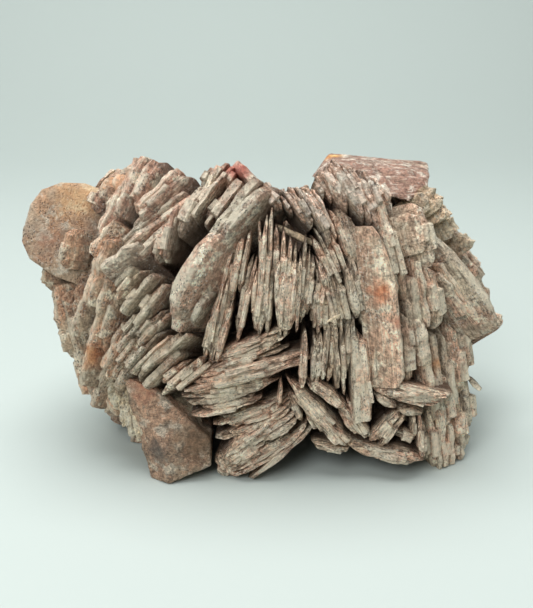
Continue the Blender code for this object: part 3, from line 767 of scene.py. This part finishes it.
# ---------------------------------------------------------------------------
# Upright books of the centre: long narrow blades that stand side by side under the dark
# hollow, splintered like old wood, their free tips pointed.
# ---------------------------------------------------------------------------
CENTRE_BOOKS = (
    (269, 212, 259, 335, -50.5, 3.4, 2, 19), (260, 221, 261, 280, -48, 1.6, 0, 19),
    (277, 230, 275, 292, -49, 1.7, 0, 19), (266, 262, 256, 345, -51.5, 6.5, 3, 19),
    (290, 258, 285, 346, -53, 8.5, 0, 19), (285, 236, 283, 300, -50, 1.7, 0, 19),
    (290, 244, 289, 300, -51, 1.5, 0, 19), (296, 249, 294, 300, -50, 1.6, 0, 19),
    (303, 243, 298, 318, -51, 3.0, 0, 19), (311, 253, 302, 332, -49.5, 4.4, -4, 19),
    (320, 262, 312, 326, -48, 3.0, -6, 19), (321, 290, 319, 308, -51, 3.2, 0, 12),
    (324, 276, 320, 340, -49, 4.6, 0, 19), (350, 256, 365, 330, -49.5, 4.0, -8, 19),
    (248, 232, 238, 300, -48, 2.0, 5, 19), (241, 239, 228, 310, -49, 2.4, 6, 19),
    (234, 246, 221, 300, -49, 2.6, 8, 19), (252, 262, 234, 348, -50.5, 3.4, 6, 19),
    (226, 280, 207, 368, -52, 6.5, 8, 19), (306, 336, 303, 392, -51, 2.2, 0, 14),
    (316, 232, 346, 300, -46.5, 3.4, -8, 19), (326, 222, 350, 290, -46, 3.2, -10, 19),
    (321, 262, 340, 345, -49, 4.4, -6, 19), (333, 262, 352, 340, -48, 3.6, -8, 19),
    (341, 202, 367, 285, -45, 6.0, -12, 19), (348, 240, 360, 300, -47, 3.0, -10, 19),
    (333, 320, 327, 388, -50, 4.0, -4, 19), (321, 338, 318, 390, -51, 5.2, -2, 19),
    (340, 320, 343, 400, -50, 3.6, -5, 19), (352, 318, 352, 396, -49, 3.4, -6, 19),
    (378, 338, 378, 392, -48.5, 2.2, -10, 15),
)
centre = grow_books("centre_books", CENTRE_BOOKS, (splinter, stepped), pitch=1.7, seed=15,
                    worn=splintered)
barite_piece(centre, barite("centre_barite", body=(0.72, 0.55, 0.39), blush=(0.56, 0.30, 0.20),
                            rim=(0.96, 0.86, 0.67), stain_and_shade=(0.10, 0.06, 0.035),
                            grey=(0.30, 0.26, 0.19), shares=(0.7, 0.55, 0.85, 0.6, 0.4)))


# ---------------------------------------------------------------------------
# Roof of the hollow: a bundle that slants down to the right over the dark hollow, with a
# peach tip at its head, and one smooth yellowish rod that lies across the hollow.
# ---------------------------------------------------------------------------
ROOF_BOOKS = (
    (279, 185, 298, 213, -42, 3.0, 0, 19), (286, 184, 312, 224, -43, 3.4, -3, 19),
    (294, 183, 322, 226, -44, 3.6, -5, 19), (303, 181, 330, 226, -43.5, 3.2, -6, 19),
    (311, 186, 338, 240, -45, 3.4, -8, 19), (259, 180, 281, 205, -42, 3.4, 0, 19),
    (262, 178, 272, 190, -39, 2.6, 0, 15),
)
ROD = (274, 225, 319, 246, -37)  # view points of its two ends, and how far out
ROD_RADIUS, ROD_BEND, ROD_RINGS = 1.1, 0.8, 10
NEEDLE = (327, 322, 340, 315, -52)
NEEDLE_RADIUS, NEEDLE_BEND, NEEDLE_RINGS = 0.5, 0.0, 3
ROD_SIDES, ROD_TAPER, ROD_FLATTENED = 8, 0.55, 0.8
ROD_DENTS = (3.0, 0.4)  # size and height


def crystal_rod(name, ends, radius, bend, rings):
    """One long thin crystal, a little bent, narrowing at both ends."""
    across, down, next_across, next_down, out = ends
    middle, (run, rim, stack), length = book_by_sight((across, down), (next_across, next_down),
                                                      out, 0.0)
    start_clean()
    bpy.ops.mesh.primitive_cylinder_add(vertices=ROD_SIDES, radius=radius * MM,
                                        depth=length * MM)
    rod = bpy.context.object
    rod.name = rod.data.name = name
    bpy.ops.object.mode_set(mode="EDIT")
    bpy.ops.mesh.select_all(action="SELECT")
    bpy.ops.mesh.bisect(plane_co=(0, 0, 0), plane_no=(0, 0, 1))
    bpy.ops.mesh.select_all(action="SELECT")
    bpy.ops.mesh.subdivide(number_cuts=rings)
    bpy.ops.object.mode_set(mode="OBJECT")
    for vert in rod.data.vertices:
        share = abs(vert.co.z) / (length * MM / 2.0)
        slim = 1.0 - ROD_TAPER * share ** 4
        vert.co.x = vert.co.x * slim
        vert.co.y = vert.co.y * slim * ROD_FLATTENED + bend * MM * (1.0 - share ** 2)
    turned = Matrix((stack, rim, run)).transposed().to_4x4()
    if turned.determinant() < 0.0:
        turned = Matrix((-stack, rim, run)).transposed().to_4x4()
    rod.data.transform(Matrix.Translation(middle * MM) @ turned)
    roughen(rod, *ROD_DENTS)
    return rod


roof = grow_books("hollow_roof", ROOF_BOOKS, (splinter, stepped), pitch=1.7, seed=16,
                  worn=splintered)
barite_piece(roof, barite("roof_barite", body=(0.68, 0.52, 0.37), blush=(0.70, 0.40, 0.27),
                          rim=(0.90, 0.80, 0.68), stain_and_shade=(0.14, 0.10, 0.07),
                          grey=(0.22, 0.20, 0.15), shares=(0.8, 0.55, 0.8, 0.5, 0.4)))
strays = join([crystal_rod("rod", ROD, ROD_RADIUS, ROD_BEND, ROD_RINGS),
               crystal_rod("needle", NEEDLE, NEEDLE_RADIUS, NEEDLE_BEND, NEEDLE_RINGS)],
              "stray_crystals")
barite_piece(strays, barite("stray_barite", body=(0.62, 0.50, 0.34), blush=(0.62, 0.44, 0.28),
                            rim=(0.78, 0.70, 0.54), stain_and_shade=(0.30, 0.22, 0.14),
                            grey=(0.40, 0.34, 0.24), shares=(0.4, 0.0, 0.1, 0.2, 0.4),
                            relief=0.3, grain_scale=1.0))


# ---------------------------------------------------------------------------
# Crossing sheaves of the lower middle: fans of thin blades that lie almost level and
# cross the upright ones.
# ---------------------------------------------------------------------------
SHEAF_BOOKS = (
    (207, 366, 290, 338, -50.5, 6.0, 0, 17), (193, 378, 288, 350, -51.5, 3.0, 0, 17),
    (182, 392, 313, 361, -52, 6.0, 0, 17), (180, 400, 280, 385, -50, 7.5, 0, 17),
    (190, 418, 262, 402, -51, 3.0, 0, 17), (212, 430, 292, 404, -47.5, 5.0, 0, 17),
    (214, 444, 290, 420, -47, 4.0, 0, 17), (223, 457, 297, 413, -49.5, 6.0, 0, 17),
    (222, 470, 270, 440, -49.5, 6.5, 0, 17), (226, 479, 305, 436, -49, 5.0, 0, 17),
    (244, 483, 312, 430, -49, 3.4, 0, 15), (262, 446, 296, 424, -51, 2.0, 0, 12),
    (214, 462, 236, 482, -46, 8.0, 20, 17), (287, 382, 345, 448, -49, 5.6, 0, 17),
    (300, 398, 322, 440, -47, 3.0, 0, 17), (281, 384, 279, 410, -49, 1.8, 0, 12),
    (289, 400, 303, 428, -48, 2.4, 0, 14), (307, 384, 352, 416, -50, 4.6, 0, 17),
    (337, 402, 369, 445, -48, 5.0, 0, 17), (322, 426, 350, 452, -49, 4.4, 0, 17),
    (371, 445, 402, 415, -48, 2.2, 0, 14), (377, 451, 406, 417, -48, 4.0, 0, 15),
    (372, 392, 455, 405, -50, 6.0, -5, 17), (376, 398, 398, 412, -49, 2.4, -5, 14),
    (398, 412, 425, 417, -47, 2.0, 0, 12), (395, 436, 418, 442, -45, 2.4, 0, 12),
    (312, 450, 352, 456, -49, 2.6, 0, 14), (345, 452, 426, 464, -49, 5.0, 0, 15),
    (421, 417, 423, 462, -47.5, 1.6, 0, 10), (416, 416, 416, 440, -46.5, 1.2, 0, 10),
    (424, 428, 426, 464, -48.5, 2.6, -5, 12),
)
sheaves = grow_books("crossing_sheaves", SHEAF_BOOKS, (splinter, stepped), pitch=1.7,
                     seed=17, worn=splintered)
barite_piece(sheaves, barite("sheaf_barite", body=(0.76, 0.57, 0.40), blush=(0.60, 0.33, 0.22),
                             rim=(0.96, 0.86, 0.67), stain_and_shade=(0.10, 0.06, 0.035),
                             grey=(0.30, 0.26, 0.19), shares=(0.75, 0.6, 0.85, 0.6, 0.35)))


# ---------------------------------------------------------------------------
# Ribs of the right: long slabs that lean to the left at their tops and turn round towards
# the side, smoother and greyer, down to the right foot.
# ---------------------------------------------------------------------------
FACE_PLATES = (  # broad crystals that stand face on
    (399, 226, 409, 388, -49.5, 3.6, -70, 13), (430, 204, 510, 320, -33, 4.6, -70, 17),
)
RIGHT_BOOKS = (
    (425, 199, 443, 264, -42, 4.0, -66, 15), (384, 190, 412, 304, -46.5, 5.6, -22, 20),
    (378, 188, 398, 246, -45, 3.4, -20, 18), (362, 338, 367, 433, -50.5, 6.4, -8, 19),
    (412, 325, 416, 387, -47, 3.2, -25, 20), (413, 300, 420, 362, -46, 4.4, -25, 20),
    (424, 320, 430, 368, -45, 3.2, -25, 20), (420, 262, 430, 330, -44, 4.0, -35, 22),
    (432, 262, 444, 325, -42, 3.4, -40, 22), (441, 265, 452, 330, -40, 3.0, -45, 22),
    (442, 262, 482, 326, -35, 3.6, -45, 20),
    (484, 300, 508, 322, -28, 4.0, -60, 18), (478, 310, 500, 326, -26, 3.4, -55, 18),
    (437, 335, 446, 432, -40.5, 4.6, -30, 22), (428, 335, 434, 395, -43, 3.2, -28, 20),
    (449, 330, 459, 430, -37.5, 4.4, -40, 22), (462, 325, 470, 400, -34, 4.2, -48, 22),
    (472, 322, 479, 380, -30, 3.6, -58, 22), (464, 395, 470, 448, -34, 4.4, -45, 20),
    (474, 378, 478, 430, -30, 4.0, -55, 20), (474, 386, 482, 391, -34, 1.4, 0, 10),
    (430, 410, 436, 474, -41, 4.6, -12, 20), (441, 408, 446, 472, -40, 4.0, -18, 20),
    (452, 425, 452, 468, -37, 4.0, -25, 20), (463, 432, 462, 462, -33, 4.2, -40, 20),
    (473, 430, 466, 452, -30, 3.6, -45, 18),
)
RIGHT_STAINS = (
    (382, 289, -46, 5.0, (0.60, 0.22, 0.10)), (398, 321, -48, 3.6, (0.66, 0.30, 0.22)),
    (487, 318, -30, 4.0, (0.62, 0.22, 0.11)), (446, 362, -40, 6.0, (0.58, 0.27, 0.13)),
)
right_finish = barite("right_barite", body=(0.72, 0.58, 0.42), blush=(0.64, 0.36, 0.24),
                      rim=(0.94, 0.84, 0.65), stain_and_shade=(0.15, 0.09, 0.055),
                      grey=(0.46, 0.39, 0.28), shares=(0.7, 0.7, 0.55, 0.6, 0.45),
                      shade_and_dirt=0.35, spots=stains(RIGHT_STAINS))
plates = grow_books("face_plates", FACE_PLATES, (kite,), pitch=6.0, seed=23, worn=slabbed)
barite_piece(plates, right_finish)
right_ribs = grow_books("right_ribs", RIGHT_BOOKS, (tablet, stepped), pitch=2.4, seed=18,
                        worn=slabbed)
barite_piece(right_ribs, right_finish)


# ---------------------------------------------------------------------------
# Yellowish crystals behind the right shoulder: short thick blades that step down to the
# right, cleaner and paler than the books in front of them.
# ---------------------------------------------------------------------------
SHOULDER_BOOKS = (
    (428, 182, 444, 206, -26, 5.0, -60, 20), (440, 186, 456, 213, -22, 5.0, -70, 20),
    (452, 204, 465, 236, -20, 5.0, -70, 20), (462, 228, 477, 243, -19, 4.0, -60, 15),
)
shoulder = grow_books("right_shoulder", SHOULDER_BOOKS, (stepped, tablet), pitch=2.6,
                      seed=19, worn=splintered)
barite_piece(shoulder, barite("shoulder_barite", body=(0.70, 0.56, 0.38), blush=(0.70, 0.44, 0.28),
                              rim=(0.88, 0.80, 0.62), stain_and_shade=(0.30, 0.21, 0.12),
                              grey=(0.46, 0.39, 0.27), shares=(0.6, 0.5, 0.4, 0.5, 0.4),
                              shade_and_dirt=0.3))


# ---------------------------------------------------------------------------
# Cleaved block at the top right: a large crystal broken along flat faces, with the blades
# that run up into it from below.
# ---------------------------------------------------------------------------
BLOCK_BLADES = (
    (332, 152, 372, 218, -43, 5.0, -6, 19), (324, 160, 356, 206, -42, 4.6, -4, 19),
    (346, 156, 380, 224, -43, 5.0, -8, 19), (360, 162, 386, 214, -42, 4.6, -12, 19),
    (374, 170, 394, 206, -40, 4.0, -14, 17), (314, 172, 330, 198, -40, 3.4, 0, 15),
)
block_blades = grow_books("block_blades", BLOCK_BLADES, (splinter, stepped), pitch=2.0,
                          seed=20, worn=splintered)
barite_piece(block_blades, barite("top_barite", body=(0.62, 0.48, 0.34), blush=(0.60, 0.35, 0.25),
                                  rim=(0.90, 0.82, 0.69), stain_and_shade=(0.15, 0.10, 0.07),
                                  grey=(0.28, 0.25, 0.19), shares=(0.7, 0.5, 0.65, 0.5, 0.4)))

BLOCK_CORNERS = ((22, -4, 107), (57, -4, 104), (24, -20, 107), (56, -16, 102), (41, -30, 97),
                 (47, -28, 95), (54, -22, 97), (15, -24, 102), (20, 14, 99), (54, 12, 95),
                 (24, 13, 104), (53, 11, 101))
BLOCK_BEVEL, BLOCK_ROUGH = 0.7, 0.30
BLOCK_STAINS = ((333, 157, -8, 4.0, (0.74, 0.42, 0.12)),)
CORNER_MERGE, FLAT_WITHIN, CLEAVED_VOXEL = 0.1, 4.0, 0.55  # FLAT_WITHIN is in degrees
CLEAVED_DENTS = ((5.0, 3.0), (1.3, 1.0))  # size, and height as a share of the roughness


def cleaved_crystal(name, corners, bevel, rough):
    """A broken crystal with flat cleavage faces between its corners, its edges chipped."""
    start_clean()
    bpy.ops.mesh.primitive_ico_sphere_add(subdivisions=2, radius=1.0)
    crystal = bpy.context.object
    crystal.name = crystal.data.name = name
    for number, vert in enumerate(crystal.data.vertices):
        vert.co = Vector(corners[number % len(corners)]) * MM
    bpy.ops.object.mode_set(mode="EDIT")
    bpy.ops.mesh.select_all(action="SELECT")
    bpy.ops.mesh.remove_doubles(threshold=CORNER_MERGE * MM)
    bpy.ops.mesh.convex_hull()
    bpy.ops.mesh.dissolve_limited(angle_limit=math.radians(FLAT_WITHIN))
    bpy.ops.object.mode_set(mode="OBJECT")
    apply_modifier(crystal, "BEVEL", width=bevel * MM, segments=2)
    apply_modifier(crystal, "REMESH", mode="VOXEL", voxel_size=CLEAVED_VOXEL * MM)
    for size, share in CLEAVED_DENTS:
        roughen(crystal, size, rough * share)
    return crystal


block = cleaved_crystal("cleaved_block", BLOCK_CORNERS, BLOCK_BEVEL, BLOCK_ROUGH)
barite_piece(block, barite("cleavage_barite", body=(0.46, 0.36, 0.26), blush=(0.34, 0.18, 0.13),
                           rim=(0.72, 0.64, 0.53), stain_and_shade=(0.20, 0.12, 0.08),
                           grey=(0.30, 0.22, 0.17), shares=(0.9, 0.3, 0.7, 0.3, 0.6),
                           relief=0.7, grain_scale=0.6, grained=0.8,
                           spots=stains(BLOCK_STAINS)))


# ---------------------------------------------------------------------------
# Broken chunk at the lower left: one thick crystal snapped off flat, its face granular,
# with thin yellowish blades along its left side.
# ---------------------------------------------------------------------------
THIN_BLADES = (
    (104, 380, 114, 418, -38, 4, 60, 20), (112, 385, 124, 440, -40, 4, 60, 20),
    (122, 398, 132, 448, -42, 4, 62, 20), (128, 402, 146, 470, -43, 4, 66, 20),
    (138, 420, 154, 482, -44, 3.4, 70, 20), (96, 372, 110, 410, -34, 4, 70, 20),
)
thin = grow_books("lower_left_blades", THIN_BLADES, (stepped, splinter), pitch=1.4, seed=22,
                  worn=splintered)
barite_piece(thin, barite("thin_barite", body=(0.74, 0.62, 0.42), blush=(0.62, 0.44, 0.28),
                          rim=(0.82, 0.76, 0.60), stain_and_shade=(0.18, 0.14, 0.09),
                          grey=(0.34, 0.31, 0.23), shares=(0.4, 0.5, 0.5, 0.7, 0.5)))

CHUNK_CORNERS = ((-49, -40, 38), (-49, -38, 37), (-37, -44, 34), (-30, -46, 28), (-19, -47, 17),
                 (-19, -47, 7), (-34, -49, 1), (-34, -50, 14), (-43, -41, 18), (-40, -44, 1),
                 (-46, -16, 36), (-20, -16, 18), (-20, -16, 1), (-40, -16, 1))
CHUNK_BEVEL, CHUNK_ROUGH = 0.8, 0.45
# The first spot is a reddish stain; the dark brown one paints shade on the chunk's right side, and
# the dark grey one darkens its lower face.
CHUNK_STAINS_AND_SHADE = (
    (140, 385, -44, 6.0, (0.66, 0.36, 0.26)), (196, 440, -46, 9.0, (0.20, 0.13, 0.08)),
    (156, 452, -48, 5.0, (0.16, 0.15, 0.14)),
)
chunk = cleaved_crystal("lower_left_chunk", CHUNK_CORNERS, CHUNK_BEVEL, CHUNK_ROUGH)
cut_level(chunk, 0.0)
barite_piece(chunk, barite("chunk_barite", body=(0.47, 0.34, 0.23), blush=(0.47, 0.27, 0.17),
                           rim=(0.64, 0.54, 0.42), stain_and_shade=(0.12, 0.08, 0.05),
                           grey=(0.17, 0.14, 0.10), shares=(0.8, 0.15, 0.4, 1.0, 0.7),
                           relief=1.2, grain_scale=2.2, spots=stains(CHUNK_STAINS_AND_SHADE)))


# ---------------------------------------------------------------------------
# Hidden sides: the same blades grown in rows all round the back, the two ends and the top,
# each book standing on the inner mass, and ten more placed on the slope at the right.
# ---------------------------------------------------------------------------
FANS = {  # side, columns, rows, across, heights, leans, turns, length, width
    "back": (("back", 16, 6, (-72, 68), (9, 92), (34, -34), (46, -46), 27, 5.2),),
    "end": (("right", 7, 6, (-18, 30), (12, 88), (-8, 14), (12, -34), 25, 5.0),
            ("left", 6, 5, (-26, 24), (16, 88), (-12, 16), (34, -12), 25, 5.0)),
    "crown": (("top", 9, 4, (-44, 42), (-8, 28), (6, -6), (-34, 32), 23, 5.0),
              ("top", 3, 2, (-57, -50), (8, 24), (8, 6), (-28, -20), 18, 4.5)),
}
RIGHT_SLOPE = (  # the slope behind the right shoulder, placed by sight
    (438, 192, 461, 234, -8, 7.0, -80, 18), (440, 194, 462, 236, 3, 7.0, -80, 18),
    (438, 192, 461, 234, 14, 7.0, -80, 18), (434, 190, 458, 232, 25, 7.0, -78, 18),
    (462, 236, 487, 272, -8, 7.0, -80, 18), (463, 238, 487, 274, 4, 7.0, -82, 18),
    (461, 236, 486, 272, 16, 7.0, -82, 18), (458, 234, 480, 268, 27, 7.0, -78, 18),
    (484, 272, 497, 316, 4, 7.0, -84, 18), (482, 270, 494, 314, 17, 7.0, -84, 18),
)
STAND_OFF = 11.5
SINK_STEPS, SINK_STEP = 6, 1.6  # how a book at an end moves inward to stay in the outline
RISE_ALLOWED = 0.5
FAN_FROM = 150.0
FAN_DEPTH, FAN_PITCH, FIRST_FAN_SEED = 19.0, 2.4, 21
FAN_LEVELS = 1  # hidden books are divided less finely
FAN_SHIFT, FAN_SWING = 2.5, 8.0  # how far a book strays from its row, in mm and degrees
FAN_SHORTEST, FAN_LONGEST = 0.85, 1.15


def fan_rim(side, across, up):
    """Where a rim stands on one side: on the inner mass, and then out by its stand-off."""
    right, upward, outward = SIDES[side]
    start = right * across + upward * up + outward * FAN_FROM
    hit, place, _, _ = inner.ray_cast(start * MM, -outward)
    if not hit:
        return None
    return place / MM + outward * STAND_OFF


# The outline of the top as the front view sees it. No hidden book stands above it.
SKYLINE = ((20, 250), (36, 216), (52, 203), (80, 185), (110, 172), (131, 158), (150, 156),
           (182, 170), (200, 168), (214, 160), (228, 160), (240, 170), (256, 184), (275, 188),
           (300, 184), (318, 164), (331, 157), (425, 166), (432, 176), (436, 190), (447, 202),
           (457, 216), (463, 234), (476, 244), (487, 264), (503, 292), (512, 320))


def skyline(across):
    """How far down the view the outline of the top is at this place across."""
    for (start, high), (end, next_high) in zip(SKYLINE, SKYLINE[1:]):
        if across <= end:
            share = max(0.0, (across - start) / (end - start))
            return high + (next_high - high) * share
    return SKYLINE[-1][1]


def above_skyline(point):
    """How far a point would have to come down to be hidden behind the front books."""
    forward, upward = eye_axes()
    seen = point - (Vector((0, 0, EYE_HEIGHT)) - forward * EYE_DISTANCE)
    per_point = seen.dot(forward) / VIEW_FOCUS
    down = VIEW_MIDDLE[1] - seen.dot(upward) / per_point
    limit = skyline(VIEW_MIDDLE[0] + seen.x / per_point)
    return max(0.0, limit - down) * per_point / upward.z


def rise_over(rim, run, long):
    """How far a book's rims stand above the outline, at their ends and middle."""
    return max(above_skyline(rim + run * (way * long / 2.0)) for way in (-1, 0, 1))


def leaning_axes(side, lean, turn, height):
    """The axes of a book that leans along one side and turns out of it."""
    upward, outward = tipped_back(side, height)
    run = SIDES[side][0] * math.sin(math.radians(lean)) + upward * math.cos(math.radians(lean))
    return turned_axes(run, outward, turn)


def astray(chance, ends, share, reach):
    """A value this share of the way between two ends, and then off by at most the reach."""
    return ends[0] + (ends[1] - ends[0]) * share + chance.uniform(-reach, reach)


def lay_fan_book(blades, chance, side, rim, turned, length, width):
    """One book of a hidden side, kept inside the outline of the front view."""
    lean, turn = turned
    axes = leaning_axes(side, lean, turn, rim.z)
    long = length * chance.uniform(FAN_SHORTEST, FAN_LONGEST)
    for _ in range(SINK_STEPS if side in ("left", "right") else 0):
        if rise_over(rim, axes[0], long) > RISE_ALLOWED:
            rim = rim - SIDES[side][2] * SINK_STEP
    rim.z -= rise_over(rim, axes[0], long)
    lay_book(blades, (tablet, splinter, stepped), chance, rim, axes,
             (long, width, FAN_DEPTH), FAN_PITCH, 1.0)


def grow_fans(name, fans, seed):
    """Rows of books over whole sides, every second row moved along by half a column."""
    chance = random.Random(seed)
    blades = []
    for side, columns, rows, spread, heights, leans, turns, length, width in fans:
        for row in range(rows):
            for column in range(columns):
                share = (column + 0.5 * (row % 2)) / (columns - 0.5)
                across = astray(chance, spread, share, FAN_SHIFT)
                up = heights[0] + (heights[1] - heights[0]) * row / (rows - 1)
                up += chance.uniform(-FAN_SHIFT, FAN_SHIFT)
                turned = (astray(chance, leans, share, FAN_SWING),
                          astray(chance, turns, share, FAN_SWING))
                rim = fan_rim(side, across, up)
                if rim is not None:
                    lay_fan_book(blades, chance, side, rim, turned, length, width)
    return druse(join(blades, name), FAN_LEVELS, splintered)


for number, (title, fans) in enumerate(FANS.items()):
    fan = grow_fans(f"{title}_books", fans, FIRST_FAN_SEED + number)
    barite_piece(fan, barite(f"{title}_barite", body=(0.62, 0.47, 0.33),
                             blush=(0.56, 0.31, 0.21), rim=(0.88, 0.78, 0.61),
                             stain_and_shade=(0.17, 0.11, 0.07), grey=(0.36, 0.30, 0.22),
                             shares=(0.7, 0.6, 0.5, 0.6, 0.4)))

slope = grow_books("right_slope", RIGHT_SLOPE, (tablet, stepped), pitch=2.4, seed=27,
                   worn=splintered, levels=FAN_LEVELS)
barite_piece(slope, bpy.data.materials["end_barite"])

for blank in blanks_to_clear:
    bpy.data.objects.remove(blank, do_unlink=True)


# ---------------------------------------------------------------------------
# Floor, backdrop, light and camera: pale paper that sweeps up behind the cluster, one broad
# light above, a weaker one from the front left, and the eye of the front view.
# ---------------------------------------------------------------------------
FLOOR_WIDE = 3000.0
FLOOR_FRONT = -1500.0
SWEEP = ((450, 0), (650, 12), (800, 60), (900, 150), (960, 300), (980, 1600))  # y and z
SWEEP_LEVELS = 4
SAME_PLACE = 1e-6
PAPER_COLOUR, PAPER_ROUGHNESS = (0.515, 0.578, 0.551, 1), 0.8
ROOM_COLOUR, ROOM_STRENGTH = (0.93, 1.0, 0.98, 1), 0.18
LENS = 55.0
CAMERA_CLIP = 0.01


def floor_and_backdrop():
    start_clean()
    bpy.ops.mesh.primitive_plane_add(size=1.0)
    floor = bpy.context.object
    floor.name = floor.data.name = "floor"
    floor.scale = (FLOOR_WIDE * MM, (SWEEP[0][0] - FLOOR_FRONT) * MM, 1.0)
    floor.location = (0, (SWEEP[0][0] + FLOOR_FRONT) / 2.0 * MM, 0)
    settle(floor)
    bpy.ops.object.mode_set(mode="EDIT")
    bpy.ops.mesh.select_mode(type="EDGE")
    bpy.ops.mesh.select_all(action="DESELECT")
    bpy.ops.object.mode_set(mode="OBJECT")
    for edge in floor.data.edges:
        ends = [floor.data.vertices[index].co.y for index in edge.vertices]
        edge.select = min(ends) > SWEEP[0][0] * MM - SAME_PLACE
    bpy.ops.object.mode_set(mode="EDIT")
    for (y, z), (next_y, next_z) in zip(SWEEP, SWEEP[1:]):
        bpy.ops.mesh.extrude_region_move(TRANSFORM_OT_translate={
            "value": (0, (next_y - y) * MM, (next_z - z) * MM)})
    bpy.ops.object.mode_set(mode="OBJECT")
    apply_modifier(floor, "SUBSURF", levels=SWEEP_LEVELS, render_levels=SWEEP_LEVELS)
    bpy.ops.object.shade_smooth()
    material = bpy.data.materials.new("pale_paper")
    material.use_nodes = True
    shader = material.node_tree.nodes["Principled BSDF"]
    shader.inputs["Base Color"].default_value = PAPER_COLOUR
    shader.inputs["Roughness"].default_value = PAPER_ROUGHNESS
    floor.data.materials.append(material)


def add_light(name, place, target, size, power):
    """A round soft light, its place, target and size in metres."""
    light = bpy.data.lights.new(name, "AREA")
    light.shape = "DISK"
    light.size = size
    light.energy = power
    lamp = bpy.data.objects.new(name, light)
    lamp.location = place
    lamp.rotation_euler = (Vector(target) - Vector(place)).to_track_quat("-Z", "Y").to_euler()
    bpy.context.scene.collection.objects.link(lamp)


floor_and_backdrop()
add_light("overhead_softbox", place=(-0.10, -0.02, 1.1), target=(0, 0, 0), size=1.1,
          power=15.5)
add_light("front_fill", place=(-0.5, -1.2, 1.0), target=(0, 0, 0.05), size=0.8, power=12.5)

world = bpy.data.worlds.new("soft_room")
world.use_nodes = True
background = world.node_tree.nodes["Background"]
background.inputs["Color"].default_value = ROOM_COLOUR
background.inputs["Strength"].default_value = ROOM_STRENGTH
bpy.context.scene.world = world

camera_data = bpy.data.cameras.new("camera")
camera_data.lens = LENS
camera_data.clip_start = CAMERA_CLIP
camera = bpy.data.objects.new("camera", camera_data)
rise = math.radians(EYE_TILT)
camera.location = (Vector((0, 0, EYE_HEIGHT)) * MM
                   + Vector((0, -math.cos(rise), math.sin(rise))) * EYE_DISTANCE * MM)
camera.rotation_euler = (math.radians(90.0 - EYE_TILT), 0, 0)
bpy.context.scene.collection.objects.link(camera)
bpy.context.scene.camera = camera
bpy.context.scene.view_settings.view_transform = "Standard"
